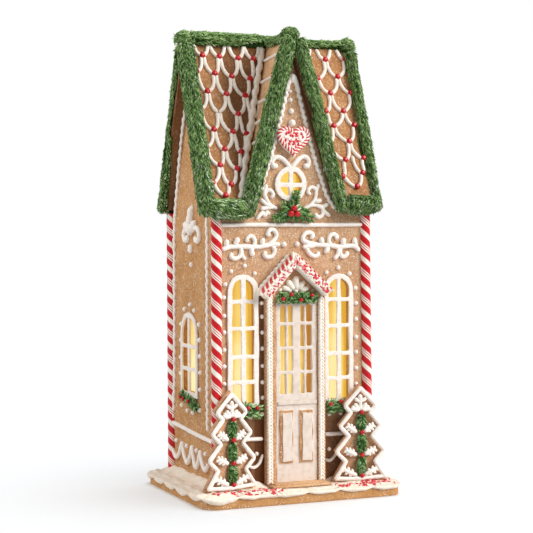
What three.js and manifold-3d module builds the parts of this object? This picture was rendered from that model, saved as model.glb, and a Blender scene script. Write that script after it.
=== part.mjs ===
// A tall gingerbread town house on its own iced board: four wall panels with candy-stick corner
// posts, a steep roof with a cross gable over the door, fir garlands along every roof edge, a small
// porch, and two fir-tree biscuits that stand in the icing in front.
// Millimetres, +Z up, the front door faces -Y. The origin is at the middle of the board's underside.
import * as THREE from "three";
import Module from "manifold-3d";
import { mergeVertices } from "three/addons/utils/BufferGeometryUtils.js";

const wasm = await Module();
wasm.setup();

// ---------------------------------------------------------------- driving dimensions
const GAP = 0.3; // between two pieces that touch

const BOARD = { halfX: 118, halfY: 98.5, thick: 11, corner: 15 };
const ICING = {
  low: BOARD.thick + GAP, thick: 3.4, overhang: 1.9, scallop: 3.6, scallops: 22, perScallop: 5, dripDrop: 3.6,
};
const FLOOR = ICING.low + ICING.thick + GAP; // what stands on the icing

const WALL = { front: -62.5, back: 83, side: 90.3, thick: 6 };
const WALL_TOP_FRONT = 321.4;
const WALL_TOP_BACK = 317.8;

const ROOF = { ridgeY: 9.5, ridgeZ: 507, eaveZ: 322, eaveFront: -69, eaveBack: 88, half: 102, slab: 6 };
const GABLE_FOOT = 60; // half width of the cross gable where it meets the eave

const POST = { radius: 5.3, flute: 0.28, flutes: 5, turns: 4.5, sides: 10, rings: 12, top: 316 };
const POST_FEET = {
  post_front_left: { low: [-91.2, WALL.front], high: [-89.9, WALL.front] },
  post_front_right: { low: [92.0, WALL.front], high: [88.9, WALL.front] },
  post_back_left: { low: [-90.6, WALL.back], high: [-90.6, WALL.back] },
  post_back_right: { low: [90.6, WALL.back], high: [90.6, WALL.back] },
};

// Arched windows: u is the middle along the wall, half the outer half width, springZ where the arch
// starts, sill the lower edge; the bars are heights of the cross bars.
const FRAME = { stroke: 5.4, relief: 2.7, bar: 4.4, muntin: 5.2, arcSteps: 8 };
const PANE = { thick: 2.4, inset: 0.4 };
const TALL_BARS = [219.0, 189.6, 158.8, 131.0];
const WINDOWS = {
  front_left: { wall: "front", u: -60.2, half: 18.2, springZ: 230.6, rise: 18.4, sill: 102, bars: TALL_BARS },
  front_right: { wall: "front", u: 54.9, half: 17.9, springZ: 230.0, rise: 18.0, sill: 102, bars: TALL_BARS },
  back: { wall: "back", u: 0, half: 18.2, springZ: 230.6, rise: 18.4, sill: 102, bars: TALL_BARS },
  left: { wall: "left", u: 20.5, half: 27, springZ: 178, rise: 26, sill: 108, bars: [165.5, 139.4] },
  right: { wall: "right", u: 20.5, half: 27, springZ: 178, rise: 26, sill: 108, bars: [165.5, 139.4] },
};
const OVAL = { x: -2.7, z: 347.4, outerX: 19.2, outerZ: 19.6, stroke: 5.6, bar: 4.8, barZ: 346.2, steps: 20 };

// The double door: four narrow strips of glass over two panels that stand proud of it.
const DOOR = {
  left: -22.6, right: 27.0, top: 225.6, bottom: 17.9, face: -67.4, thick: 4.6,
  glassLow: 116, glassHigh: 214, panes: [[-17.2, -10.6], [-7.8, -2.4], [6.8, 11.5], [14.3, 20.6]],
  bars: [193.6, 166.4, 139.8], barHeight: 3.6, glassBehindWall: 1.2, glassRebate: 4,
  panelLow: 40, panelHigh: 98, panels: [[-18.6, -3.4], [5.0, 20.6]], panelRelief: 1.4,
};
const DOORWAY = { left: -20, right: 24, top: 220 };
const STEP = { left: -33, right: 37, front: -84, back: -62.9, low: FLOOR, high: FLOOR + 2.6 };

const PORCH = {
  front: -81, roofThick: 10, apexX: -3.2, apexZ: 270.4,
  leftX: -43.5, leftZ: 227.8, rightX: 39.8, rightZ: 230.4,
  jambFront: -69, jambs: { left: [-35.5, -23.0], right: [27.4, 36.6] }, pedimentFront: -68.4,
};

// Fir garlands: the radius on each kind of edge, and how unevenly they swell.
const GARLAND = { ridge: 5, rake: 8, eave: 9, backEave: 7.6, sides: 8, step: 26, wobble: 0.09, waves: 3 };
const RIDGE_GARLAND = {
  lift: 6.4, end: 8.6, behindRidge: 7, behindFront: 4, tuft: 8.4, tuftLift: 3.5, frontTuft: 9,
};
const RAKE_GARLAND = { fromRidge: 7.5, below: 3, inset: 3, footDrop: 6 };
const EAVE_GARLAND = { end: 8.8, out: 3, pastGable: 7.5, lift: { left: -1.6, right: 3.4 }, backOut: 1.4 };
const GABLE_GARLAND = { head: 4.5, out: 1.5, below: 2, footDrop: 8 };
const DOOR_GARLAND = { left: -24, right: 26, y: -72.4, z: 222.3, radius: 6.6, flat: 0.6 };
const SPRIG = { radius: 8, flat: 0.58, out: 5.4, z: 102.4, sideOut: 5.6, sideBelow: 2, sidePast: 1 };
const SPRIG_SPANS = { front_left: [-79.5, -40], front_right: [37.4, 74], back: [-20, 20] };

const HEART = { x: -1.3, top: 409.5, tip: 376.5, halfWidth: 18.6, thick: 4.4, bevel: 1.6 };
const HOLLY = {
  x: -2.6, z: 317.0, leafThick: 4.2, teeth: 4, berry: 3.3, berries: [[0, 3.5], [-3.9, -2.3], [3.6, -2.8]],
  leaves: [[30, 13, 1.38], [30, 14, Math.PI + 0.32], [26, 14, -0.3]], // length, width, heading
};

const TREE = { thick: 6, foot: FLOOR, high: 122.5, bevel: 0.8 };
// Half widths of the tree biscuit at its tips and notches, from the foot up.
const TREE_EDGE = [
  [31.6, TREE.foot], [31.6, 17.2], [18.9, 38.5], [29.2, 49.8],
  [15.0, 66.7], [25.0, 78.3], [12.2, 93.4], [19.2, 101.8],
];
const TREES = {
  tree_left: { x: -79.8, y: -74.2, turn: 8.4 },
  tree_right: { x: 74.4, y: -76.8, turn: -8.0 },
};

// ---------------------------------------------------------------- materials
const finish = (color, roughness) => new THREE.MeshStandardMaterial({ color, roughness, metalness: 0 });
const GINGERBREAD = finish(0xc99a66, 0.85);
const ROYAL_ICING = finish(0xefe6d8, 0.55);
const FIR_GREEN = finish(0x4a7d3c, 0.8);
const RED_CANDY = finish(0xc41f30, 0.35);
const CANDY_STRIPE = finish(0xe8b0ae, 0.35);
const AMBER_PANE = finish(0xf2cf6a, 0.4);

// ---------------------------------------------------------------- solids and their placing
const house = new THREE.Group();

function add(name, geometry, material) {
  const mesh = new THREE.Mesh(geometry, material);
  mesh.name = name;
  house.add(mesh);
  return mesh;
}

function welded(geometry) {
  const bare = geometry.clone();
  bare.deleteAttribute("normal");
  bare.deleteAttribute("uv");
  return mergeVertices(bare, 1e-4);
}

function toSolid(geometry) {
  const merged = welded(geometry);
  return new wasm.Manifold(
    new wasm.Mesh({
      numProp: 3,
      vertProperties: new Float32Array(merged.attributes.position.array),
      triVerts: new Uint32Array(merged.index.array),
    }),
  );
}

function toGeometry(solid) {
  const mesh = solid.getMesh();
  const geometry = new THREE.BufferGeometry();
  geometry.setAttribute("position", new THREE.BufferAttribute(new Float32Array(mesh.vertProperties), 3));
  geometry.setIndex(new THREE.BufferAttribute(new Uint32Array(mesh.triVerts), 1));
  return geometry;
}

const cut = (body, ...tools) =>
  toGeometry(tools.reduce((left, tool) => left.subtract(toSolid(tool)), toSolid(body)));

const join = (first, ...rest) =>
  toGeometry(rest.reduce((whole, piece) => whole.add(toSolid(piece)), toSolid(first)));

function outline(points, holes = []) {
  const shape = new THREE.Shape(points.map(([u, v]) => new THREE.Vector2(u, v)));
  shape.holes = holes.map((hole) => new THREE.Path(hole.map(([u, v]) => new THREE.Vector2(u, v))));
  return shape;
}

const extrude = (shape, depth, more = {}) =>
  new THREE.ExtrudeGeometry(shape, { depth, bevelEnabled: false, curveSegments: 8, ...more });

// A panel that stands facing the front or the back: its outline is drawn in (x, z).
const facingFront = (shape, front, back, more) =>
  extrude(shape, back - front, more).rotateX(Math.PI / 2).translate(0, back, 0);

// A panel that stands facing a side: its outline is drawn in (y, z).
function facingSide(shape, low, high, more) {
  const turn = new THREE.Matrix4().makeBasis(
    new THREE.Vector3(0, 1, 0),
    new THREE.Vector3(0, 0, 1),
    new THREE.Vector3(1, 0, 0),
  );
  return extrude(shape, high - low, more).applyMatrix4(turn).translate(low, 0, 0);
}

// A flat layer that lies on the floor: its outline is drawn in (x, y).
const lyingFlat = (shape, low, high, more) => extrude(shape, high - low, more).translate(0, 0, low);

const rectangle = (left, right, low, high) => [[left, low], [right, low], [right, high], [left, high]];

function roundedRectangle(halfX, halfY, radius, steps = 6) {
  const points = [];
  for (let corner = 0; corner < 4; corner++) {
    const cx = (corner === 0 || corner === 3 ? 1 : -1) * (halfX - radius);
    const cy = (corner < 2 ? 1 : -1) * (halfY - radius);
    for (let k = 0; k <= steps; k++) {
      const angle = ((corner + k / steps) * Math.PI) / 2;
      points.push([cx + radius * Math.cos(angle), cy + radius * Math.sin(angle)]);
    }
  }
  return points;
}

// ---------------------------------------------------------------- roof lines that the walls meet
const slope = (ROOF.ridgeZ - ROOF.eaveZ) / (ROOF.ridgeY - ROOF.eaveFront);
const slopeAngle = Math.atan(slope);
const slabDrop = ROOF.slab / Math.cos(slopeAngle);
const gableSlope = (ROOF.ridgeZ - ROOF.eaveZ) / GABLE_FOOT;
const gableAngle = Math.atan(gableSlope);
const gableDrop = ROOF.slab / Math.cos(gableAngle);
const undersideZ = (y) => ROOF.ridgeZ - slabDrop - slope * Math.abs(y - ROOF.ridgeY);

// ---------------------------------------------------------------- board, icing and step
add(
  "base_board",
  lyingFlat(outline(roundedRectangle(BOARD.halfX - 1, BOARD.halfY - 1, BOARD.corner)), 1, BOARD.thick - 1, {
    bevelEnabled: true, bevelThickness: 1, bevelSize: 1, bevelSegments: 1,
  }),
  GINGERBREAD,
);

// A stick up one corner of the house, leaning as the corner does, with flutes that wind round it.
function cornerStick(name, { radius, low, high, sides, rings = 1, flute = 0 }) {
  const { low: foot, high: head } = POST_FEET[name];
  const upright = new THREE.CylinderGeometry(1, 1, high - low, sides, rings);
  const stick = welded(upright.rotateX(Math.PI / 2));
  const place = stick.attributes.position;
  for (let i = 0; i < place.count; i++) {
    const along = place.getZ(i) / (high - low) + 0.5;
    const angle = Math.atan2(place.getY(i), place.getX(i));
    const winding = flute * Math.cos(POST.flutes * angle - 2 * Math.PI * POST.turns * along);
    const reach = Math.hypot(place.getX(i), place.getY(i)) * (radius + winding);
    place.setX(i, foot[0] + (head[0] - foot[0]) * along + reach * Math.cos(angle));
    place.setY(i, foot[1] + (head[1] - foot[1]) * along + reach * Math.sin(angle));
    place.setZ(i, low + (high - low) * along);
  }
  return stick;
}

const postClearance = Object.keys(POST_FEET).map((name) =>
  cornerStick(name, {
    radius: POST.radius + POST.flute + GAP, low: 0, high: POST.top + 20, sides: 16,
  }),
);

// The iced top of the board: a sheet whose edge swells into scallops that hang over the board's rim,
// lowest in the middle of each scallop.
function icedSheet(low, high) {
  const rim = roundedRectangle(BOARD.halfX, BOARD.halfY, BOARD.corner);
  const path = new THREE.CurvePath();
  rim.forEach(([x, y], k) => {
    const [nextX, nextY] = rim[(k + 1) % rim.length];
    path.add(new THREE.LineCurve(new THREE.Vector2(x, y), new THREE.Vector2(nextX, nextY)));
  });
  const steps = ICING.scallops * ICING.perScallop;
  const points = [];
  for (let k = 0; k < steps; k++) {
    const here = path.getPointAt(k / steps);
    const along = path.getTangentAt(k / steps);
    const lobe = Math.abs(Math.sin((Math.PI * k) / ICING.perScallop));
    const swell = ICING.overhang - ICING.scallop * (1 - lobe);
    points.push({ x: here.x + along.y * swell, y: here.y - along.x * swell, drop: ICING.dripDrop * lobe });
  }
  const sheet = welded(lyingFlat(outline(points.map(({ x, y }) => [x, y])), low - ICING.dripDrop, high));
  const place = sheet.attributes.position;
  for (let i = 0; i < place.count; i++) {
    if (place.getZ(i) > low) continue;
    const near = points.find(({ x, y }) => Math.hypot(x - place.getX(i), y - place.getY(i)) < 0.01);
    place.setZ(i, low - near.drop);
  }
  return sheet;
}

const boardGrown = roundedRectangle(BOARD.halfX + GAP, BOARD.halfY + GAP, BOARD.corner + GAP);
const iced = icedSheet(ICING.low, ICING.low + ICING.thick);
add("base_icing", cut(iced, lyingFlat(outline(boardGrown), -1, ICING.low)), ROYAL_ICING);

add(
  "door_step",
  facingFront(outline(rectangle(STEP.left, STEP.right, STEP.low, STEP.high)), STEP.front, STEP.back),
  GINGERBREAD,
);

// ---------------------------------------------------------------- walls
function archPoints(window, inset) {
  const half = window.half - inset;
  const rise = window.rise - inset;
  const points = [[window.u - half, window.sill + inset], [window.u + half, window.sill + inset]];
  for (let k = 0; k <= FRAME.arcSteps; k++) {
    const angle = (Math.PI * k) / FRAME.arcSteps;
    points.push([window.u + half * Math.cos(angle), window.springZ + rise * Math.sin(angle)]);
  }
  return points;
}

function ovalPoints(inset) {
  const points = [];
  for (let k = 0; k < OVAL.steps; k++) {
    const angle = (2 * Math.PI * k) / OVAL.steps;
    const across = (OVAL.outerX - inset) * Math.cos(angle);
    points.push([OVAL.x + across, OVAL.z + (OVAL.outerZ - inset) * Math.sin(angle)]);
  }
  return points;
}

const opening = (name) => archPoints(WINDOWS[name], FRAME.stroke);
const gableWallApex = ROOF.ridgeZ - gableDrop - GAP / Math.cos(gableAngle);
const gableWallFoot = (gableWallApex - WALL_TOP_FRONT) / gableSlope;

const frontOutline = [
  [-WALL.side, FLOOR], [WALL.side, FLOOR], [WALL.side, WALL_TOP_FRONT], [gableWallFoot, WALL_TOP_FRONT],
  [0, gableWallApex], [-gableWallFoot, WALL_TOP_FRONT], [-WALL.side, WALL_TOP_FRONT],
];
const frontHoles = [
  opening("front_left"), opening("front_right"), ovalPoints(OVAL.stroke),
  rectangle(DOORWAY.left, DOORWAY.right, STEP.high, DOORWAY.top),
];
add(
  "wall_front",
  cut(facingFront(outline(frontOutline, frontHoles), WALL.front, WALL.front + WALL.thick), ...postClearance),
  GINGERBREAD,
);
add(
  "wall_back",
  cut(
    facingFront(
      outline(rectangle(-WALL.side, WALL.side, FLOOR, WALL_TOP_BACK), [opening("back")]),
      WALL.back - WALL.thick, WALL.back,
    ),
    ...postClearance,
  ),
  GINGERBREAD,
);

const sideFront = WALL.front + WALL.thick + GAP;
const sideBack = WALL.back - WALL.thick - GAP;
const sideLift = GAP / Math.cos(slopeAngle);
const sideOutline = [
  [sideFront, FLOOR], [sideBack, FLOOR], [sideBack, undersideZ(sideBack) - sideLift],
  [ROOF.ridgeY, undersideZ(ROOF.ridgeY) - sideLift], [sideFront, undersideZ(sideFront) - sideLift],
];
add(
  "wall_left",
  facingSide(outline(sideOutline, [opening("left")]), -WALL.side, -WALL.side + WALL.thick),
  GINGERBREAD,
);
add(
  "wall_right",
  facingSide(outline(sideOutline, [opening("right")]), WALL.side - WALL.thick, WALL.side),
  GINGERBREAD,
);

// ---------------------------------------------------------------- windows: iced frame, amber pane
// The outline is drawn on the wall and set at a depth measured outwards from the wall's face.
function onWall(wall, shape, inner, outer, more) {
  if (wall === "front") return facingFront(shape, WALL.front - outer, WALL.front - inner, more);
  if (wall === "back") return facingFront(shape, WALL.back + inner, WALL.back + outer, more);
  if (wall === "left") return facingSide(shape, -WALL.side - outer, -WALL.side - inner, more);
  return facingSide(shape, WALL.side + inner, WALL.side + outer, more);
}

function windowFrame(window) {
  const { u, half, springZ, rise, sill, bars, wall } = window;
  const piped = (shape) => onWall(wall, shape, GAP, GAP + FRAME.relief);
  const parts = [piped(outline(archPoints(window, 0), [archPoints(window, FRAME.stroke)]))];
  const inStroke = FRAME.stroke / 2;
  const upright = [u - FRAME.muntin / 2, u + FRAME.muntin / 2, sill + inStroke, springZ + rise - inStroke];
  parts.push(piped(outline(rectangle(...upright))));
  for (const bar of bars) {
    const across = [u - half + inStroke, u + half - inStroke, bar - FRAME.bar / 2, bar + FRAME.bar / 2];
    parts.push(piped(outline(rectangle(...across))));
  }
  return join(...parts);
}

for (const [name, window] of Object.entries(WINDOWS)) {
  add("window_frame_" + name, windowFrame(window), ROYAL_ICING);
  const pane = outline(archPoints(window, FRAME.stroke + PANE.inset));
  add("window_pane_" + name, onWall(window.wall, pane, -WALL.thick, PANE.thick - WALL.thick), AMBER_PANE);
}

const ovalReachX = OVAL.outerX - 2;
const ovalReachZ = OVAL.outerZ - 2;
const halfBar = OVAL.bar / 2;
const ovalLines = [
  outline(ovalPoints(0), [ovalPoints(OVAL.stroke)]),
  outline(rectangle(OVAL.x - halfBar, OVAL.x + halfBar, OVAL.z - ovalReachZ, OVAL.z + ovalReachZ)),
  outline(rectangle(OVAL.x - ovalReachX, OVAL.x + ovalReachX, OVAL.barZ - halfBar, OVAL.barZ + halfBar)),
];
const ovalFrame = join(...ovalLines.map((line) => onWall("front", line, GAP, GAP + FRAME.relief)));
add("oval_window_frame", ovalFrame, ROYAL_ICING);
add(
  "oval_window_pane",
  onWall("front", outline(ovalPoints(OVAL.stroke + PANE.inset)), -WALL.thick, PANE.thick - WALL.thick),
  AMBER_PANE,
);

// ---------------------------------------------------------------- roof panels
// One slope of the main roof, drawn in (y, z); side is -1 for the front and +1 for the back.
function slopeOutline(side, grow) {
  const eaveY = side < 0 ? ROOF.eaveFront : ROOF.eaveBack;
  const thick = ROOF.slab + 2 * grow;
  const lift = grow / Math.cos(slopeAngle);
  const out = [side * Math.sin(slopeAngle), Math.cos(slopeAngle)];
  const down = [side * Math.cos(slopeAngle), -Math.sin(slopeAngle)];
  const ridge = ROOF.ridgeY + side * (GAP / 2 - grow);
  const outer = [eaveY + out[0] * grow + down[0] * grow, ROOF.eaveZ + out[1] * grow + down[1] * grow];
  return [
    [ridge, ROOF.ridgeZ + lift],
    outer,
    [outer[0] - out[0] * thick, outer[1] - out[1] * thick],
    [ridge, ROOF.ridgeZ + lift - thick / Math.cos(slopeAngle)],
  ];
}

function slopePanel(side, grow = 0) {
  const points = slopeOutline(side, grow);
  return facingSide(outline(side > 0 ? points.reverse() : points), -ROOF.half - grow, ROOF.half + grow);
}

// All that lies under the outer faces of the cross gable, with a gap above them.
const gableBelow = 250;
const gableReach = (z, lift) => (ROOF.ridgeZ + lift - z) / gableSlope;
const gableLift = GAP / Math.cos(gableAngle);
const gableVolume = facingFront(
  outline([
    [-gableReach(gableBelow, gableLift), gableBelow],
    [gableReach(gableBelow, gableLift), gableBelow],
    [0, ROOF.ridgeZ + gableLift],
  ]),
  ROOF.eaveFront - 40, ROOF.ridgeY + 30,
);

const frontHalves = toSolid(slopePanel(-1)).subtract(toSolid(gableVolume)).decompose();
for (const half of frontHalves) {
  const geometry = toGeometry(half);
  geometry.computeBoundingBox();
  const onLeft = geometry.boundingBox.min.x + geometry.boundingBox.max.x < 0;
  add(onLeft ? "roof_front_left" : "roof_front_right", geometry, GINGERBREAD);
}
add("roof_back", slopePanel(1), GINGERBREAD);

// One slope of the cross gable, drawn in (x, z), from the eave back to the valley.
function gablePanel(side, grow = 0) {
  const thick = ROOF.slab + 2 * grow;
  const lift = grow / Math.cos(gableAngle);
  const out = [side * Math.sin(gableAngle), Math.cos(gableAngle)];
  const down = [side * Math.cos(gableAngle), -Math.sin(gableAngle)];
  const ridge = side * (GAP / 2 - grow);
  const outer = [side * GABLE_FOOT + (out[0] + down[0]) * grow, ROOF.eaveZ + (out[1] + down[1]) * grow];
  const points = [
    [ridge, ROOF.ridgeZ + lift],
    outer,
    [outer[0] - out[0] * thick, outer[1] - out[1] * thick],
    [ridge, ROOF.ridgeZ + lift - thick / Math.cos(gableAngle)],
  ];
  return facingFront(outline(side > 0 ? points.reverse() : points), ROOF.eaveFront - grow, ROOF.ridgeY - GAP);
}

// The room under the main roof's front slope, which the gable's panels stop short of.
const apexInside = undersideZ(ROOF.ridgeY);
const roomBelow = facingSide(
  outline([
    [ROOF.ridgeY - (apexInside - gableBelow) / slope, gableBelow], [150, gableBelow], [150, apexInside],
    [ROOF.ridgeY, apexInside],
  ]),
  -150, 150,
);
add("gable_roof_left", cut(gablePanel(-1), roomBelow), GINGERBREAD);
add("gable_roof_right", cut(gablePanel(1), roomBelow), GINGERBREAD);

// ---------------------------------------------------------------- candy-stick corner posts
const roofClearance = [slopePanel(-1, GAP), slopePanel(1, GAP), gablePanel(-1, GAP), gablePanel(1, GAP)];
for (const name of Object.keys(POST_FEET)) {
  const stick = cornerStick(name, { ...POST, low: FLOOR, high: POST.top });
  add(name, cut(stick, roofClearance[0], roofClearance[1]), CANDY_STRIPE);
}

// ---------------------------------------------------------------- fir garlands
// An uneven closed sausage from one point to another: a lathed profile with rounded ends, whose
// radius swells and shrinks along it and round it.
function garland(from, to, radius, { seed = 0, flat = 1 } = {}) {
  const start = new THREE.Vector3(...from);
  const end = new THREE.Vector3(...to);
  const length = start.distanceTo(end);
  const rings = Math.max(2, Math.round(length / GARLAND.step));
  const endRadius = 0.55 * radius;
  const endInset = 0.06 * radius;
  const profile = [new THREE.Vector2(0, 0), new THREE.Vector2(endRadius, endInset)];
  for (let k = 0; k <= rings; k++) {
    profile.push(new THREE.Vector2(radius, radius * 0.5 + ((length - radius) * k) / rings));
  }
  profile.push(new THREE.Vector2(endRadius, length - endInset), new THREE.Vector2(0, length));
  const body = welded(new THREE.LatheGeometry(profile, GARLAND.sides));
  const place = body.attributes.position;
  for (let i = 0; i < place.count; i++) {
    const angle = Math.atan2(place.getZ(i), place.getX(i));
    const along = place.getY(i);
    const lump = 1 + GARLAND.wobble * Math.sin(GARLAND.waves * angle + 0.31 * along + seed)
      + 0.5 * GARLAND.wobble * Math.sin(0.13 * along + 2.1 * seed);
    place.setX(i, place.getX(i) * lump * flat);
    place.setZ(i, place.getZ(i) * lump);
  }
  const turn = new THREE.Quaternion().setFromUnitVectors(
    new THREE.Vector3(0, 1, 0),
    end.clone().sub(start).normalize(),
  );
  return body.applyQuaternion(turn).translate(...from);
}

const tuft = (x, y, z, radius) => new THREE.IcosahedronGeometry(radius, 1).translate(x, y, z);

const ridgeGarlandZ = ROOF.ridgeZ + RIDGE_GARLAND.lift;
const ridgeEndX = ROOF.half - RIDGE_GARLAND.end;
const tuftZ = ROOF.ridgeZ + RIDGE_GARLAND.tuftLift;
const onRidge = ([fromX, fromY], [toX, toY], seed) =>
  garland([fromX, fromY, ridgeGarlandZ], [toX, toY, ridgeGarlandZ], GARLAND.ridge, { seed });
const garlands = {
  garland_ridge: join(
    onRidge([-ridgeEndX, ROOF.ridgeY], [ridgeEndX, ROOF.ridgeY], 1),
    tuft(-ROOF.half + 1, ROOF.ridgeY, tuftZ, RIDGE_GARLAND.tuft),
    tuft(ROOF.half - 1, ROOF.ridgeY, tuftZ, RIDGE_GARLAND.tuft),
  ),
  garland_gable_ridge: join(
    onRidge([0, ROOF.ridgeY - RIDGE_GARLAND.behindRidge], [0, ROOF.eaveFront + RIDGE_GARLAND.behindFront], 2),
    tuft(0, ROOF.eaveFront, tuftZ, RIDGE_GARLAND.frontTuft),
  ),
};

// The garland down one slope's edge at the end of the roof; side is -1 for the front, +1 for the back.
function sideRake(x, side, footDrop, seed) {
  const eaveY = side < 0 ? ROOF.eaveFront : ROOF.eaveBack;
  const inset = RAKE_GARLAND.inset / Math.sin(slopeAngle);
  return garland(
    [x, ROOF.ridgeY + side * RAKE_GARLAND.fromRidge, ROOF.ridgeZ - RAKE_GARLAND.below],
    [x, eaveY - side * (inset - footDrop / slope), ROOF.eaveZ - footDrop],
    GARLAND.rake, { seed },
  );
}

// The garland down one edge of the cross gable, stopped at the middle where the other one starts.
function gableRake(sign, lift) {
  const y = ROOF.eaveFront - GABLE_GARLAND.out;
  const whole = garland(
    [sign * GABLE_GARLAND.head, y, ROOF.ridgeZ - GABLE_GARLAND.below],
    [sign * (GABLE_FOOT - GABLE_GARLAND.out), y, ROOF.eaveZ - GABLE_GARLAND.footDrop + lift],
    GARLAND.rake, { seed: 9 + sign },
  );
  const reach = sign < 0 ? [-ROOF.half, -GAP / 2] : [GAP / 2, ROOF.half];
  const half = facingFront(outline(rectangle(...reach, 0, ROOF.ridgeZ + 50)), -200, 200);
  return toGeometry(toSolid(whole).intersect(toSolid(half)));
}

const SIDES = { left: -1, right: 1 };
for (const [name, sign] of Object.entries(SIDES)) {
  const lift = EAVE_GARLAND.lift[name];
  const eaveY = ROOF.eaveFront - EAVE_GARLAND.out;
  const sideX = sign * ROOF.half;
  garlands["garland_side_" + name + "_front"] = sideRake(sideX, -1, RAKE_GARLAND.footDrop - lift, 3 + sign);
  garlands["garland_side_" + name + "_back"] = sideRake(sideX, 1, RAKE_GARLAND.footDrop, 5 + sign);
  garlands["garland_eave_" + name] = garland(
    [sign * (ROOF.half - EAVE_GARLAND.end), eaveY, ROOF.eaveZ + lift],
    [sign * (GABLE_FOOT + EAVE_GARLAND.pastGable), eaveY, ROOF.eaveZ + lift],
    GARLAND.eave, { seed: 7 + sign },
  );
  garlands["garland_gable_" + name] = gableRake(sign, lift);
}
const backEaveX = ROOF.half - EAVE_GARLAND.end;
const backEaveY = ROOF.eaveBack + EAVE_GARLAND.backOut;
garlands.garland_eave_back = garland(
  [-backEaveX, backEaveY, ROOF.eaveZ], [backEaveX, backEaveY, ROOF.eaveZ], GARLAND.backEave, { seed: 12 },
);

// Each garland is bedded on the roof's edges and on the garlands laid before it.
function swollen(geometry, by) {
  const body = geometry.clone();
  body.computeBoundingBox();
  const middle = body.boundingBox.getCenter(new THREE.Vector3());
  const size = body.boundingBox.getSize(new THREE.Vector3());
  body.translate(-middle.x, -middle.y, -middle.z);
  body.scale(1 + (2 * by) / size.x, 1 + (2 * by) / size.y, 1 + (2 * by) / size.z);
  return body.translate(middle.x, middle.y, middle.z);
}
const wallClearance = facingFront(
  outline(rectangle(-WALL.side - GAP, WALL.side + GAP, 0, ROOF.ridgeZ)), WALL.front - GAP, WALL.back + GAP,
);
const bed = [...roofClearance, ...postClearance, wallClearance];
for (const [name, body] of Object.entries(garlands)) {
  const pieces = toSolid(cut(body, ...bed)).decompose();
  const largest = pieces.reduce((a, b) => (a.volume() > b.volume() ? a : b));
  add(name, toGeometry(largest), FIR_GREEN);
  bed.push(swollen(body, 2 * GAP));
}

// ---------------------------------------------------------------- door and porch
function doorSlab() {
  const back = DOOR.face + DOOR.thick;
  const slab = facingFront(outline(rectangle(DOOR.left, DOOR.right, DOOR.bottom, DOOR.top)), DOOR.face, back);
  const glass = DOOR.panes.map(([left, right]) =>
    facingFront(outline(rectangle(left, right, DOOR.glassLow, DOOR.glassHigh)), DOOR.face - 1, back + 1),
  );
  const low = DOOR.panes[0][0] - 1;
  const high = DOOR.panes.at(-1)[1] + 1;
  const halfBar = DOOR.barHeight / 2;
  const bars = DOOR.bars.map((z) =>
    facingFront(outline(rectangle(low, high, z - halfBar, z + halfBar)), DOOR.face, back),
  );
  const proud = DOOR.face - DOOR.panelRelief;
  const panels = DOOR.panels.map(([left, right]) =>
    facingFront(outline(rectangle(left, right, DOOR.panelLow, DOOR.panelHigh)), proud, DOOR.face + 1),
  );
  return join(cut(slab, ...glass), ...bars, ...panels);
}
add("door", doorSlab(), ROYAL_ICING);
const glassFront = WALL.front + DOOR.glassBehindWall;
const glassLow = DOOR.glassLow - DOOR.glassRebate;
const doorGlass = rectangle(DOORWAY.left + GAP, DOORWAY.right - GAP, glassLow, DOORWAY.top - GAP);
add("door_pane", facingFront(outline(doorGlass), glassFront, glassFront + PANE.thick), AMBER_PANE);

const porchTop = PORCH.roofThick * Math.SQRT2;
const porchUndersideZ = (x) => {
  const reach = x < PORCH.apexX ? PORCH.apexX - PORCH.leftX : PORCH.rightX - PORCH.apexX;
  const fall = x < PORCH.apexX ? PORCH.apexZ - PORCH.leftZ : PORCH.apexZ - PORCH.rightZ;
  return PORCH.apexZ - porchTop - (Math.abs(x - PORCH.apexX) * fall) / reach;
};
for (const [name, [left, right]] of Object.entries(PORCH.jambs)) {
  const points = [
    [left, STEP.high + GAP], [right, STEP.high + GAP],
    [right, porchUndersideZ(right) - 2 * GAP], [left, porchUndersideZ(left) - 2 * GAP],
  ];
  add("porch_jamb_" + name, facingFront(outline(points), PORCH.jambFront, WALL.front - GAP), GINGERBREAD);
}
const pedimentLeft = PORCH.jambs.left[1] + GAP;
const pedimentRight = PORCH.jambs.right[0] - GAP;
const pedimentOutline = [
  [pedimentLeft, DOOR.top + GAP],
  [pedimentRight, DOOR.top + GAP],
  [pedimentRight, porchUndersideZ(pedimentRight) - 2 * GAP],
  [PORCH.apexX, porchUndersideZ(PORCH.apexX) - 2 * GAP],
  [pedimentLeft, porchUndersideZ(pedimentLeft) - 2 * GAP],
];
const pediment = facingFront(outline(pedimentOutline), PORCH.pedimentFront, WALL.front - GAP);
add("porch_pediment", pediment, GINGERBREAD);

function porchRoof(tipX, tipZ) {
  const side = Math.sign(tipX - PORCH.apexX);
  const pitch = Math.atan2(PORCH.apexZ - tipZ, Math.abs(tipX - PORCH.apexX));
  const inward = [-side * Math.sin(pitch) * PORCH.roofThick, -Math.cos(pitch) * PORCH.roofThick];
  const middle = PORCH.apexX + (side * GAP) / 2;
  const points = [
    [middle, PORCH.apexZ],
    [tipX, tipZ],
    [tipX + inward[0], tipZ + inward[1]],
    [middle, PORCH.apexZ - porchTop],
  ];
  const behind = WALL.front - FRAME.relief - 2 * GAP;
  return facingFront(outline(side > 0 ? points.reverse() : points), PORCH.front, behind);
}
add("porch_roof_left", porchRoof(PORCH.leftX, PORCH.leftZ), ROYAL_ICING);
add("porch_roof_right", porchRoof(PORCH.rightX, PORCH.rightZ), ROYAL_ICING);

add(
  "door_garland",
  garland(
    [DOOR_GARLAND.left, DOOR_GARLAND.y, DOOR_GARLAND.z], [DOOR_GARLAND.right, DOOR_GARLAND.y, DOOR_GARLAND.z],
    DOOR_GARLAND.radius, { seed: 4, flat: DOOR_GARLAND.flat },
  ),
  FIR_GREEN,
);

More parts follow.
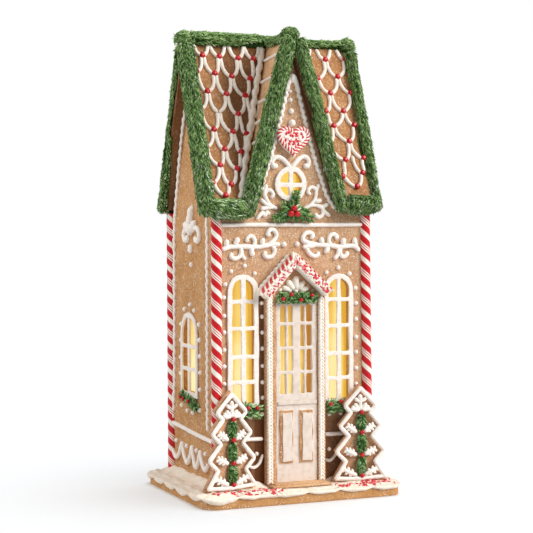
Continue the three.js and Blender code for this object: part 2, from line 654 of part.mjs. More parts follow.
// ---------------------------------------------------------------- candy heart, holly and sprigs
function heart() {
  const high = HEART.top - HEART.tip - 2 * HEART.bevel;
  const wide = HEART.halfWidth - HEART.bevel;
  const shape = new THREE.Shape();
  const dip = high * 0.86;
  shape.moveTo(0, 0);
  shape.bezierCurveTo(wide * 0.35, high * 0.2, wide * 1.1, high * 0.45, wide, high * 0.72);
  shape.bezierCurveTo(wide * 0.92, high * 1.04, wide * 0.28, high * 1.12, 0, dip);
  shape.bezierCurveTo(-wide * 0.28, high * 1.12, -wide * 0.92, high * 1.04, -wide, high * 0.72);
  shape.bezierCurveTo(-wide * 1.1, high * 0.45, -wide * 0.35, high * 0.2, 0, 0);
  const bevel = { bevelEnabled: true, bevelThickness: HEART.bevel, bevelSize: HEART.bevel, bevelSegments: 2 };
  const front = WALL.front - GAP - HEART.bevel - HEART.thick;
  return facingFront(shape, front, front + HEART.thick, bevel).translate(HEART.x, 0, HEART.tip + HEART.bevel);
}
add("heart_candy", heart(), CANDY_STRIPE);

// A jagged fir leaf as half widths along its length: it swells from its stalk and narrows to its tip.
function leafPoints(from, length, width, heading, teeth) {
  const points = [];
  const steps = teeth * 2;
  for (const side of [1, -1]) {
    for (let k = 0; k <= steps; k++) {
      const at = side > 0 ? k / steps : 1 - k / steps;
      const tooth = k % 2 ? 1 : 0.72;
      const half = Math.max(0.6, width * 0.5 * Math.sin(Math.PI * Math.min(1, 0.16 + 0.84 * at)) * tooth);
      points.push([
        from[0] + length * at * Math.cos(heading) - side * half * Math.sin(heading),
        from[1] + length * at * Math.sin(heading) + side * half * Math.cos(heading),
      ]);
    }
  }
  return points.reverse();
}

const leafBack = WALL.front - FRAME.relief - 2 * GAP;
const leafFront = leafBack - HOLLY.leafThick;
const hollyLeaves = HOLLY.leaves.map(([length, width, heading]) => {
  const points = leafPoints([HOLLY.x, HOLLY.z], length, width, heading, HOLLY.teeth);
  return facingFront(outline(points), leafFront, leafBack);
});
add("holly_sprig", join(...hollyLeaves), FIR_GREEN);

HOLLY.berries.forEach(([dx, dz], k) => {
  const berry = new THREE.IcosahedronGeometry(HOLLY.berry, 1);
  berry.translate(HOLLY.x + dx, leafFront - GAP - HOLLY.berry, HOLLY.z + dz);
  add("holly_berry_" + (k + 1), berry, RED_CANDY);
});

// ---------------------------------------------------------------- fir-tree biscuits
function treeBiscuit({ x, y, turn }, front = 0, back = TREE.thick, grow = 0) {
  const right = TREE_EDGE.map(([half, z]) => [half - TREE.bevel + grow, z]);
  const left = right.map(([half, z]) => [-half, z]).reverse();
  const shape = outline([...right, [0, TREE.high + grow], ...left]);
  const bevel = { bevelEnabled: true, bevelThickness: TREE.bevel, bevelSize: TREE.bevel, bevelSegments: 1 };
  const slab = facingFront(shape, front + TREE.bevel, back - TREE.bevel, bevel);
  return slab.rotateZ((turn * Math.PI) / 180).translate(x, y, TREE.bevel);
}
for (const [name, tree] of Object.entries(TREES)) add(name, treeBiscuit(tree), GINGERBREAD);

// Each biscuit's outline carried forwards and back to the wall, a little larger than the biscuit.
const treeClearance = Object.values(TREES).map((tree) =>
  treeBiscuit(tree, -TREE.thick, TREE.thick * 3, 2 * GAP),
);

// The fir sprig that lies along each window's sill.
const sprigBack = 2 * GAP + FRAME.relief;
for (const [name, [left, right]] of Object.entries(SPRIG_SPANS)) {
  const outwards = WINDOWS[name].wall === "back" ? 1 : -1;
  const face = outwards > 0 ? WALL.back : WALL.front;
  const y = face + outwards * (sprigBack + SPRIG.out);
  const bough = { seed: left, flat: SPRIG.flat };
  const whole = garland([left, y, SPRIG.z], [right, y, SPRIG.z], SPRIG.radius, bough);
  add("sprig_" + name, cut(whole, ...treeClearance), FIR_GREEN);
}
const sideWallsGrown = facingFront(
  outline(rectangle(-WALL.side - sprigBack, WALL.side + sprigBack, 0, 300)), -200, 200,
);
for (const [name, sign] of Object.entries(SIDES)) {
  const { u, half, sill } = WINDOWS[name];
  const x = sign * (WALL.side + sprigBack + SPRIG.sideOut);
  const z = sill - SPRIG.sideBelow;
  const reach = half + SPRIG.sidePast;
  const whole = garland([x, u - reach, z], [x, u + reach, z], SPRIG.radius, { seed: sign });
  add("sprig_" + name, cut(whole, sideWallsGrown), FIR_GREEN);
}

export default house;
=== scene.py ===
"""A lighted gingerbread house ornament, iced and dressed with fir, on its own baked board."""
import math

import bpy
import numpy as np
from mathutils import Matrix, Vector


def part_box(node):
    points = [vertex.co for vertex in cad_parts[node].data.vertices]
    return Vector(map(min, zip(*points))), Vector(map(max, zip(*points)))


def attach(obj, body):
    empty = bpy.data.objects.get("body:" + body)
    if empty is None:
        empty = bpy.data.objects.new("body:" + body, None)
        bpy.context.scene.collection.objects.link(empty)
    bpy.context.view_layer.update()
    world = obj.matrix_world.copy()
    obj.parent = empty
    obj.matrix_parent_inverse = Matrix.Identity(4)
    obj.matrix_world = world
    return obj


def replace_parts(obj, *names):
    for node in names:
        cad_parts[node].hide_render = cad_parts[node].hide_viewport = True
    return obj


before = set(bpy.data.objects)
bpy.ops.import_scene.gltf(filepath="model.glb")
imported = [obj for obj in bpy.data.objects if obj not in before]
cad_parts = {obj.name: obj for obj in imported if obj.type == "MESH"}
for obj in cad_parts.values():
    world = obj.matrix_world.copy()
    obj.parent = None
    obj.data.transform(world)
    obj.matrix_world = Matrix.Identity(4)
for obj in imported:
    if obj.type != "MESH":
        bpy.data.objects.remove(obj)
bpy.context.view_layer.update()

# ---- Baked board -----------------------------------------------------------------------
# A thick slab of gingerbread dough with round corners. The icing, the house and both trees
# stand on it. Its cut edges have puffed round in the oven.
MM = 0.001
BOARD_EDGE = 4.8 * MM


def alone(piece):
    """Select one piece and nothing else."""
    bpy.ops.object.select_all(action="DESELECT")
    piece.select_set(True)
    bpy.context.view_layer.objects.active = piece


def whole_copy(node, name, flat=True):
    """A copy of a CAD node with its loose triangles merged, and joined up into flat faces."""
    piece = bpy.data.objects.new(name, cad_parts[node].data.copy())
    bpy.context.scene.collection.objects.link(piece)
    alone(piece)
    bpy.ops.mesh.customdata_custom_splitnormals_clear()
    bpy.ops.object.mode_set(mode="EDIT")
    bpy.ops.mesh.select_all(action="SELECT")
    bpy.ops.mesh.remove_doubles(threshold=0.01 * MM)
    if flat:
        bpy.ops.mesh.dissolve_limited(angle_limit=math.radians(1))
    bpy.ops.object.mode_set(mode="OBJECT")
    return piece


def applied(piece, kind, **settings):
    """Add one modifier with its settings and apply it."""
    alone(piece)
    modifier = piece.modifiers.new("shaping", kind)
    for setting, value in settings.items():
        setattr(modifier, setting, value)
    bpy.ops.object.modifier_apply(modifier=modifier.name)
    return piece


def softened(node, name, edge, steps=3):
    """A copy of a CAD node whose edges are rounded over, as dough and icing set."""
    piece = whole_copy(node, name)
    applied(piece, "BEVEL", width=edge, segments=steps, limit_method="ANGLE", angle_limit=math.radians(35))
    bpy.ops.object.shade_smooth_by_angle(angle=math.radians(38))
    return piece


def fitted(piece, slot, finish, *nodes):
    """Give a piece its finish, and say what it rides on and the nodes it stands for; slot is not used."""
    piece.data.name = piece.name
    piece.data.materials.clear()
    piece.data.materials.append(finish.material)
    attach(piece, "root")
    if nodes:
        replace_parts(piece, *nodes)
    return piece


def dressed(node, finish):
    """Give a CAD node that stays a better finish."""
    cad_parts[node].material_slots[0].material = finish.material


def tint(red, green, blue):
    """A colour given in screen values, as the shader's linear colour."""
    return (*(((value / 255 + 0.055) / 1.055) ** 2.4 for value in (red, green, blue)), 1)


class Value:
    """A number inside a finish: sums on it add the Math nodes that work them out."""

    def __init__(self, finish, socket):
        self.finish = finish
        self.socket = socket

    def math(self, operation, first, second=0.0):
        return self.finish.node("ShaderNodeMath", {"operation": operation}, {0: first, 1: second})

    def __add__(self, other):
        return self.math("ADD", self, other)

    def __sub__(self, other):
        return self.math("SUBTRACT", self, other)

    def __rsub__(self, other):
        return self.math("SUBTRACT", other, self)

    def __mul__(self, other):
        return self.math("MULTIPLY", self, other)

    def __truediv__(self, other):
        return self.math("DIVIDE", self, other)

    def __abs__(self):
        return self.math("ABSOLUTE", self)

    def fraction(self):
        return self.math("FRACT", self)

    __radd__ = __add__
    __rmul__ = __mul__


class Finish:
    """One surface finish, worked up on a Principled shader."""

    def __init__(self, name, **surface):
        self.material = bpy.data.materials.new(name)
        self.material.use_nodes = True
        self.nodes = self.material.node_tree.nodes
        self.links = self.material.node_tree.links
        self.shader = self.nodes["Principled BSDF"]
        for socket, value in surface.items():
            self.shader.inputs[socket.replace("_", " ")].default_value = value

    def feed(self, socket, value):
        if isinstance(value, Value):
            self.links.new(value.socket, socket)
        else:
            socket.default_value = value

    def node(self, kind, settings=None, inputs=None, output=0):
        """Add a node: its settings first, then what its sockets are given."""
        made = self.nodes.new(kind)
        for setting, value in (settings or {}).items():
            setattr(made, setting, value)
        for socket, value in (inputs or {}).items():
            self.feed(made.inputs[socket], value)
        return Value(self, made.outputs[output])

    def give(self, socket, value):
        self.feed(self.shader.inputs[socket], value)

    def place(self):
        return self.node("ShaderNodeTexCoord", output="Object")

    def attribute(self, name, output="Fac"):
        return self.node("ShaderNodeAttribute", {"attribute_name": name}, output=output)

    def parts(self, vector):
        """The x, y and z of a vector as three values."""
        split = self.node("ShaderNodeSeparateXYZ", inputs={0: vector}).socket.node
        return [Value(self, output) for output in split.outputs]

    def stretched(self, place, scale):
        return self.node("ShaderNodeMapping", inputs={"Vector": place, "Scale": scale})

    def noise(self, place, size, detail=2.0):
        settings = {"Vector": place, "Scale": 1 / size, "Detail": detail}
        return self.node("ShaderNodeTexNoise", inputs=settings)

    def grains(self, place, size, share, radius):
        """Small round specks: a share of the cells of that size each hold one of that radius."""
        near = self.node("ShaderNodeTexVoronoi", inputs={"Vector": place, "Scale": 1 / size})
        cell = Value(self, near.socket.node.outputs["Color"])
        pick = self.node("ShaderNodeSeparateColor", inputs={0: cell})
        chosen = self.step(pick, 1 - share, 1 - share + 0.02)
        return chosen * (1 - self.step(near, radius * 0.6, radius * 1.2))

    def step(self, value, low, high):
        """0 below low, 1 above high, smooth between."""
        ends = {"Value": value, "From Min": low, "From Max": high}
        return self.node("ShaderNodeMapRange", {"interpolation_type": "SMOOTHSTEP"}, ends)

    def blend(self, amount, under, over):
        return self.node("ShaderNodeMix", {"data_type": "RGBA"}, {0: amount, 6: under, 7: over}, output=2)

    def bump(self, height, depth, strength=1.0):
        relief = {"Height": height, "Distance": depth, "Strength": strength}
        self.give("Normal", self.node("ShaderNodeBump", inputs=relief))


# Cocoa brown in which shade is painted onto the dough.
PAINTED_SHADE_BROWN = tint(98, 58, 29)
DRY_FLOUR = tint(240, 206, 167)
SUGAR_GRAIN = tint(252, 242, 228)


def gingerbread(name, pale, mid, deep, painted_shade_mask=None, sugared=None, grit=1.0):
    """Baked dough: blotched tan, faintly drawn lengthwise, gritty, pored, dusted with sugar grains.
    Of its two masks, the first says where shade is painted on in cocoa brown and the second where the sugar
    lies thick."""
    dough = Finish(name, Roughness=0.8, Specular_IOR_Level=0.22)
    place = dough.place()
    blotch = dough.noise(place, 24 * MM, 3)
    drawn = dough.noise(dough.stretched(place, (1, 1, 0.1)), 2.2 * MM, 2)
    grain = dough.noise(place, 2.6 * MM, 4)
    pores = dough.grains(place, 2.1 * MM, 0.4, 0.24)
    patch = dough.step(dough.noise(place, 15 * MM, 1), 0.46, 0.62)
    if sugared:
        patch = patch * 0.5 + sugared(dough, *dough.parts(place))
    sugar = dough.grains(place, 1.7 * MM, 0.42, 0.33) * patch
    painted_shade_amount = painted_shade_mask(dough, *dough.parts(place)) if painted_shade_mask else 0.0
    if painted_shade_mask:
        sugar = sugar * (1 - painted_shade_amount * 0.75)
    colour = dough.blend(dough.step(blotch, 0.36, 0.66), mid, pale)
    colour = dough.blend(dough.step(drawn, 0.5, 0.8) * 0.3, colour, deep)
    colour = dough.blend(dough.step(grain, 0.5, 0.68) * (0.42 * grit), colour, deep)
    colour = dough.blend((1 - dough.step(grain, 0.34, 0.47)) * (0.4 * grit), colour, DRY_FLOUR)
    # Painted shade: the dough darkens towards cocoa brown where the mask says shade falls.
    if painted_shade_mask:
        colour = dough.blend(painted_shade_amount, colour, PAINTED_SHADE_BROWN)
    colour = dough.blend(pores * (0.5 * grit), colour, deep)
    colour = dough.blend(sugar * 0.8, colour, SUGAR_GRAIN)
    dough.give("Base Color", colour)
    dough.give("Roughness", 0.86 - 0.22 * sugar)
    dough.bump(grain * -0.7 + drawn * 0.25 - pores * 0.7 + sugar * 0.8, 0.4 * MM, 0.4 + 0.45 * grit)
    return dough


BOARD_DOUGH = (tint(205, 153, 100), tint(191, 137, 84), tint(151, 100, 55))
board_dough = gingerbread("board dough", *BOARD_DOUGH, grit=0.45)
board = softened("base_board", "baked_board", BOARD_EDGE, 4)
fitted(board, "gingerbread", board_dough, "base_board")

# ---- Snow of icing on the board --------------------------------------------------------
# Royal icing is spread over the board and runs over its edge in scallops. It is heaped
# against the walls and the candy sticks, and left lumpy by the spoon.
BOARD_HALF_X, BOARD_HALF_Y, BOARD_CORNER = 118.0, 98.5, 15.0
HOUSE_LEFT, HOUSE_RIGHT, HOUSE_FRONT, HOUSE_BACK = -90.3, 90.3, -62.5, 83.0
NOTCHES = (-420.1, -385, -350, -313, -280, -241, -204, -163, -122, -80, -44, 1, 40, 79, 119, 155, 196,
           238, 277, 313, 350, 388, 420.1)
# Where the cookie trees stand, and how far back each runs for its way to the right.
TREE_FEET = ((-79.8, -74.2, 0.147), (74.4, -76.8, -0.14))
LEVEL_SNOW, THINNEST_SNOW, SNOW_FOOT = 14.4, 12.1, 9.6
PILLOW, BRINK, TUCK = 2.6, 3.2, 2.5
ROUND_STEPS, TOP_STEPS, DRAPE_STEPS, UNDER_STEPS = 540, 26, 16, 6


def royal_icing(name, tone, shade, lump=2.8 * MM):
    """Set sugar icing: cream white, satin, softly lumpy, with a few pinholes."""
    icing = Finish(name, Roughness=0.5, Specular_IOR_Level=0.35)
    place = icing.place()
    lumps = icing.noise(place, lump, 2)
    fine = icing.noise(place, 0.7 * MM, 3)
    holes = icing.grains(place, 2.6 * MM, 0.2, 0.14)
    colour = icing.blend(icing.step(lumps, 0.3, 0.6), shade, tone)
    colour = icing.blend(holes * 0.5, colour, tint(190, 165, 135))
    icing.give("Base Color", colour)
    icing.give("Roughness", 0.4 + 0.25 * fine)
    icing.bump(lumps + fine * 0.25 - holes * 0.6, 0.3 * MM, 0.55)
    return icing


def joined(name, *pieces):
    """Join pieces into one mesh piece."""
    alone(pieces[0])
    for piece in pieces[1:]:
        piece.select_set(True)
    if len(pieces) > 1:
        bpy.ops.object.join()
    pieces[0].name = name
    return pieces[0]


def taken(piece):
    """Keep the shape of a modelled pattern piece and clear the piece itself away."""
    shape = piece.data
    bpy.data.objects.remove(piece)
    return shape


def ball_shape(segments, rings, change):
    """A small shape pressed out of a ball a unit across: change moves each of its corners."""
    bpy.ops.mesh.primitive_uv_sphere_add(segments=segments, ring_count=rings, radius=0.5)
    ball = bpy.context.object
    for corner in ball.data.vertices:
        change(corner.co)
    return taken(ball)


def scattered(name, shape, places, **traits):
    """One piece of many copies of a small shape, one 4x4 matrix a copy. Each trait is a number
    for every copy, kept as a point attribute. The faces are sorted, because the ball tool gives
    them in another order at every run and needles are dealt out over faces in their order."""
    places = np.asarray(places, float)
    corners = np.array([(*v.co, 1) for v in shape.vertices])
    points = np.einsum("nij,vj->nvi", places, corners)[..., :3]
    faces = sorted(list(face.vertices) for face in shape.polygons)
    sides = np.array([len(face) for face in faces])
    loops = np.concatenate(faces)
    count = len(places)
    mesh = bpy.data.meshes.new(name)
    mesh.vertices.add(count * len(corners))
    mesh.vertices.foreach_set("co", points.ravel())
    mesh.loops.add(count * len(loops))
    shift = np.repeat(np.arange(count) * len(corners), len(loops))
    mesh.loops.foreach_set("vertex_index", (np.tile(loops, count) + shift).astype(np.int32))
    mesh.polygons.add(count * len(faces))
    starts = np.concatenate([[0], np.cumsum(np.tile(sides, count))[:-1]])
    mesh.polygons.foreach_set("loop_start", starts.astype(np.int32))
    mesh.update(calc_edges=True)
    mesh.polygons.foreach_set("use_smooth", np.ones(count * len(faces), bool))
    for trait, values in traits.items():
        values = np.asarray(values, np.float32)
        each = np.repeat(values, len(corners)) if len(values) == count else values
        mesh.attributes.new(trait, "FLOAT", "POINT").data.foreach_set("value", each)
    if np.linalg.det(places[0][:3, :3]) < 0:
        mesh.flip_normals()
    piece = bpy.data.objects.new(name, mesh)
    bpy.context.scene.collection.objects.link(piece)
    return piece


def rim_walk():
    """Points round the board's edge with the way out of it, and their distance from the front's
    middle, which is negative to the left."""
    arc = np.radians(np.arange(0, 91, 3))
    inner_x, inner_y = BOARD_HALF_X - BOARD_CORNER, BOARD_HALF_Y - BOARD_CORNER
    path = [(0, -BOARD_HALF_Y)]
    for turn, (side_x, side_y) in enumerate(((1, -1), (1, 1), (-1, 1), (-1, -1))):
        angles = math.radians(-90 + 90 * turn) + arc
        xs = side_x * inner_x + BOARD_CORNER * np.cos(angles)
        ys = side_y * inner_y + BOARD_CORNER * np.sin(angles)
        path += list(zip(xs, ys))
    path = np.array(path + [(0, -BOARD_HALF_Y)])
    run = np.concatenate([[0], np.cumsum(np.linalg.norm(np.diff(path, axis=0), axis=1))])
    along = np.linspace(0, run[-1], ROUND_STEPS, endpoint=False)
    points = np.stack([np.interp(along, run, path[:, axis]) for axis in (0, 1)], axis=1)
    heading = np.roll(points, -1, axis=0) - np.roll(points, 1, axis=0)
    heading /= np.linalg.norm(heading, axis=1, keepdims=True)
    outward = np.stack([heading[:, 1], -heading[:, 0]], axis=1)
    return points, outward, np.where(along > run[-1] / 2, along - run[-1], along)


def lumpy(x, y, seed):
    """Gentle lumps left by the spoon, between about -1 and 1."""
    waves = np.random.default_rng(seed)
    total = 0
    for size in (17, 12, 9, 7, 5.5, 4.2):
        for turn in waves.uniform(0, 6.28, 3):
            across = x * math.cos(turn) + y * math.sin(turn)
            total = total + np.sin(across / size * 3 + waves.uniform(0, 6.28)) * size
    return total / 75


def snow_height(x, y, edge):
    """How high the icing stands at a place, edge being how far that is inside the board's rim."""
    aside = np.maximum(0, np.abs(x) - HOUSE_RIGHT)
    ahead = np.maximum(0, HOUSE_FRONT - y)
    behind = np.maximum(0, y - HOUSE_BACK)
    bank = 7.0 * np.exp(-(aside ** 2 + (ahead * 1.4) ** 2 + behind ** 2) / 55)
    at_door = np.exp(-((x - 2) / 40) ** 6) * (y < HOUSE_FRONT + 8)
    height = LEVEL_SNOW + bank * (1 - at_door)
    for tree_x, tree_y, turn in TREE_FEET:
        off = (y - tree_y - (x - tree_x) * turn) / 8
        height = height + 2.1 * np.exp(-off ** 2) * np.exp(-((x - tree_x) / 35) ** 4)
    fall = np.clip(1 - edge / 15, 0, 1)
    lumps = (1.35 - 0.9 * at_door) * lumpy(x, y, 3) + 0.4 * lumpy(x * 2.6, y * 2.6, 4)
    return np.maximum(THINNEST_SNOW, height - 3.0 * fall ** 1.4 + lumps)


def snow_profile():
    """The icing as rings of points: out over the top, down over the rim in scallops, and back under."""
    rim, outward, along = rim_walk()
    order = np.random.default_rng(21)
    notch_z = order.uniform(11.0, 12.0, len(NOTCHES))
    notch_z[NOTCHES.index(-44)] = 9.6
    lobe_z = order.uniform(7.4, 9.4, len(NOTCHES))
    lobe_z -= 2.4 * ((np.array(NOTCHES) > -320) & (np.array(NOTCHES) < -110))
    which = np.clip(np.searchsorted(NOTCHES, along, side="right") - 1, 0, len(NOTCHES) - 2)
    starts, ends = np.array(NOTCHES)[which], np.array(NOTCHES)[which + 1]
    share = np.clip((along - starts) / (ends - starts), 0, 1)
    high = notch_z[which] * (1 - share) + notch_z[which + 1] * share
    swing = np.sin(share * math.pi) ** 0.6
    low = high - (high - lobe_z[which]) * swing + 0.25 * np.sin(along / 3.1) + 0.2 * np.sin(along / 1.9)
    bulge = 1.6 + 2.3 * swing + 0.3 * np.sin(along / 4.3)
    foot = np.stack([np.clip(rim[:, 0], HOUSE_LEFT + 6, HOUSE_RIGHT - 6),
                     np.clip(rim[:, 1], HOUSE_FRONT + 6, HOUSE_BACK - 6)], axis=1)
    brink = rim - outward * BRINK
    rings = []
    for t in np.linspace(0, 1, TOP_STEPS) ** 0.9:
        spot = foot + (brink - foot) * t
        edge = BRINK + np.linalg.norm(brink - spot, axis=1)
        puff = PILLOW * swing * np.exp(-((edge - 6.5) / 4.2) ** 2)
        rings.append(np.c_[spot, snow_height(spot[:, 0], spot[:, 1], edge) + puff])
    top = rings[-1][:, 2]
    waist = top - 0.42 * (top - low)
    for turn in np.radians(np.linspace(90, -90, DRAPE_STEPS + 1)[1:]):
        across, rise = math.cos(turn), math.sin(turn)
        if turn > 0:
            out = -BRINK + (bulge + BRINK) * across ** 0.9
            z = waist + (top - waist) * rise ** 0.9
        else:
            out = 0.1 + (bulge - 0.1) * across
            z = waist + (waist - low) * rise
        rings.append(np.c_[rim + outward * out[:, None], z])
    inside = rim - outward * TUCK
    for t in np.linspace(0, 1, UNDER_STEPS + 1)[:-1]:
        rings.append(np.c_[inside + (foot - inside) * t, np.minimum(SNOW_FOOT, low + 1.2)])
    return np.stack(rings)


rings = snow_profile()
bpy.ops.mesh.primitive_grid_add(x_subdivisions=ROUND_STEPS, y_subdivisions=len(rings), size=1)
snow = bpy.context.object
snow.name = "icing_snow"
for corner in snow.data.vertices:
    place_round = int(round((corner.co.x + 0.5) * ROUND_STEPS)) % ROUND_STEPS
    place_across = int(round((corner.co.y + 0.5) * len(rings))) % len(rings)
    corner.co = Vector(rings[place_across, place_round]) * MM
bpy.ops.object.mode_set(mode="EDIT")
bpy.ops.mesh.select_all(action="SELECT")
bpy.ops.mesh.remove_doubles(threshold=0.02 * MM)
bpy.ops.mesh.normals_make_consistent(inside=False)
bpy.ops.object.mode_set(mode="OBJECT")
applied(snow, "SMOOTH", factor=0.5, iterations=1)
bpy.ops.object.shade_smooth_by_angle(angle=math.radians(70))
snow_icing = royal_icing("snow icing", tint(248, 234, 217), tint(236, 218, 196), 4.5 * MM)
fitted(snow, "royal_icing", snow_icing, "base_icing")

# ---- Crushed peppermint ----------------------------------------------------------------
# Hammered candy, in red, white and pink splinters, is sprinkled on the wet icing in front
# of both trees, and sticks where it falls.
CHIP_BANDS = (((-104, -86), (-28, -93), 90), ((-70, -90), (-24, -84), 48), ((36, -91), (113, -87), 84))


def chip_shape():
    """A splinter of candy: a block with its corners knocked off unevenly."""
    bpy.ops.mesh.primitive_cube_add(size=1)
    chip = bpy.context.object
    bpy.ops.object.mode_set(mode="EDIT")
    bpy.ops.mesh.bevel(offset=0.22, segments=1)
    bpy.ops.transform.vertex_random(offset=0.12, seed=5)
    bpy.ops.object.mode_set(mode="OBJECT")
    return taken(chip)


def peppermint(name):
    """Candy splinters: each is red, pink or white, glossy where it broke."""
    candy = Finish(name, Roughness=0.35, Coat_Weight=0.15)
    kind = candy.attribute("kind")
    colour = candy.blend(candy.step(kind, 0.52, 0.54), tint(214, 22, 40), tint(238, 120, 125))
    colour = candy.blend(candy.step(kind, 0.66, 0.68), colour, tint(250, 244, 228))
    streak = candy.noise(candy.place(), 0.9 * MM, 2)
    candy.give("Base Color", candy.blend(candy.step(streak, 0.55, 0.75) * 0.5, colour, tint(250, 235, 225)))
    candy.bump(streak, 0.15 * MM)
    return candy


def sprinkled_on(piece, bands, seed):
    """Where splinters lie when they are sprinkled along bands (from, to, how many) on a piece."""
    hand = np.random.default_rng(seed)
    places = []
    for start, end, count in bands:
        for share in hand.uniform(0, 1, count):
            x = start[0] + (end[0] - start[0]) * share + hand.normal(0, 1)
            y = start[1] + (end[1] - start[1]) * share + hand.normal(0, 4.4)
            found, spot, normal, _ = piece.ray_cast(Vector((x, y, 60)) * MM, Vector((0, 0, -1)))
            if not found or spot.z > 24 * MM:
                continue
            lie = normal.to_track_quat("Z", "Y").to_matrix().to_4x4()
            spin = Matrix.Rotation(hand.uniform(0, 6.28), 4, "Z")
            size = hand.uniform(2.0, 4.4) * MM
            shape = Matrix.Diagonal((size, hand.uniform(1.5, 2.7) * MM, hand.uniform(1.2, 2.1) * MM, 1))
            places.append(Matrix.Translation(spot + normal * 0.4 * MM) @ lie @ spin @ shape)
    return places


chip = chip_shape()
peppermint_candy = peppermint("crushed peppermint")
bpy.context.view_layer.update()
chip_places = sprinkled_on(snow, CHIP_BANDS, 31)
chip_kinds = np.random.default_rng(32).uniform(0, 1, len(chip_places))
peppermint_bits = scattered("peppermint_on_snow", chip, chip_places, kind=chip_kinds)
fitted(peppermint_bits, "candy_stripe", peppermint_candy)

# ---- Walls -----------------------------------------------------------------------------
# Four upright panels of baked dough, cut with window openings. The front one rises into the
# gable. Shade is painted in cocoa brown into the corners that the light doesn't reach.
RIDGE_Y, RIDGE_Z = 9.5, 507.0
SLOPE_RUN, SLOPE_FALL = 78.5, 185.0
GABLE_RUN, GABLE_FALL = 60.0, 185.0
FRONT_DOUGH = (tint(206, 166, 130), tint(194, 151, 114), tint(152, 106, 70))
SIDE_DOUGH = (tint(202, 152, 102), tint(190, 138, 87), tint(152, 101, 55))


def front_painted_shade(dough, x, y, z):
    """Painted shade in cocoa brown beside the porch, behind the trees and under the gable's roof, with some
    brown wash there too.
    """
    beside_left = dough.step(x, -0.048, -0.042) * (1 - dough.step(x, -0.036, -0.030))
    below_porch = 1 - dough.step(z, 0.225, 0.245)
    behind_trees = (1 - dough.step(z, 0.082, 0.100)) * dough.step(abs(x), 0.028, 0.034) \
        * (1 - dough.step(abs(x), 0.066, 0.078))
    rake = (RIDGE_Z * MM - z) * (GABLE_RUN / GABLE_FALL) - abs(x)
    under_rake = (1 - dough.step(rake, 0.007, 0.012)) * dough.step(z, 0.312, 0.320)
    return beside_left * below_porch * 0.85 + behind_trees * 0.8 + under_rake * 0.9


def front_sugar(dough, x, y, z):
    """Sugar grains lie thickest over the top of the wall and in the gable."""
    return dough.step(z, 0.225, 0.265) * 0.75


def side_painted_shade(dough, x, y, z):
    """Painted shade in cocoa brown under the overhang of the main roof's slopes."""
    below_roof = (0.500 - z) * (SLOPE_RUN / SLOPE_FALL) - abs(y - RIDGE_Y * MM)
    return (1 - dough.step(below_roof, 0.009, 0.018)) * dough.step(z, 0.31, 0.33) * 0.85


front_dough = gingerbread("front wall dough", *FRONT_DOUGH, front_painted_shade, front_sugar)
side_dough = gingerbread("side wall dough", *SIDE_DOUGH, side_painted_shade)
dressed("wall_front", front_dough)
for node in ("wall_left", "wall_right", "wall_back"):
    dressed(node, side_dough)

# ---- Door step -------------------------------------------------------------------------
# Two slabs of dough before the door, the upper one set back a little and thinner. They are
# laid into the icing while it is wet.
STEP_DOUGH = (tint(214, 172, 128), tint(202, 156, 112), tint(162, 115, 74))
TREAD_MIDDLE, TREAD_SIZE = Vector((2.4, -71.5, 18.0)), Vector((62, 15, 1.9))
step_dough = gingerbread("step dough", *STEP_DOUGH, grit=0.7)
step_slab = softened("door_step", "door_step_lower", 0.9 * MM)
fitted(step_slab, "gingerbread", step_dough, "door_step")
bpy.ops.mesh.primitive_cube_add(size=1)
tread = bpy.context.object
tread.name = "door_step_tread"
tread.data.transform(Matrix.Translation(TREAD_MIDDLE * MM) @ Matrix.Diagonal((*(TREAD_SIZE * MM), 1)))
applied(tread, "BEVEL", width=0.8 * MM, segments=3)
bpy.ops.object.shade_smooth_by_angle(angle=math.radians(38))
fitted(tread, "gingerbread", step_dough)

# ---- Windows ---------------------------------------------------------------------------
# Each opening is backed by an amber pane that glows as if a lamp stood behind it, and is
# framed and barred with flattened ropes of icing.
FRAME_GRAIN = 0.6 * MM


def lit_pane(name, node, across, tall, deep=tint(217, 164, 48), bright=tint(255, 232, 164), painted_reveal_shade=0.0):
    """Frosted amber glass, lit from inside: near white in the lower middle, gold at the rim, darker with
    painted shade towards +x or +y. The pane runs along x (across 0) or y (across 1) and has dimmed at a
    height of tall."""
    low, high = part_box(node)
    middle = (low + high) / 2
    size = high - low
    glass = Finish(name, Roughness=0.35, Emission_Strength=1.0)
    place = glass.parts(glass.place())
    lean = (place[across] - middle[across]) / (size[across] / 2)
    sideways = abs(lean)
    height = (place[2] - low.z) / tall
    drapes = glass.noise(glass.stretched(glass.place(), (1, 1, 0.06)), 5 * MM, 1)
    cloud = glass.noise(glass.place(), 22 * MM, 1)
    glow = 1.15 - sideways * sideways * 0.6 - height * height * 0.6
    glow = glow + (drapes - 0.5) * 0.6 + (cloud - 0.5) * 0.5
    # Painted shade: the glow falls off towards +x or +y as the reveal shades it, and the last term darkens it
    # further from one side to the other.
    glow = glow - glass.step(lean, 0.35, 0.8) * 0.45 - (lean + 1) * painted_reveal_shade
    colour = glass.blend(glass.step(glow, 0.1, 0.75), deep, tint(241, 203, 100))
    colour = glass.blend(glass.step(glow, 0.6, 1.15), colour, bright)
    glass.give("Base Color", tint(70, 46, 16))
    glass.give("Emission Color", colour)
    glass.give("Roughness", 0.3 + cloud * 0.2)
    return glass


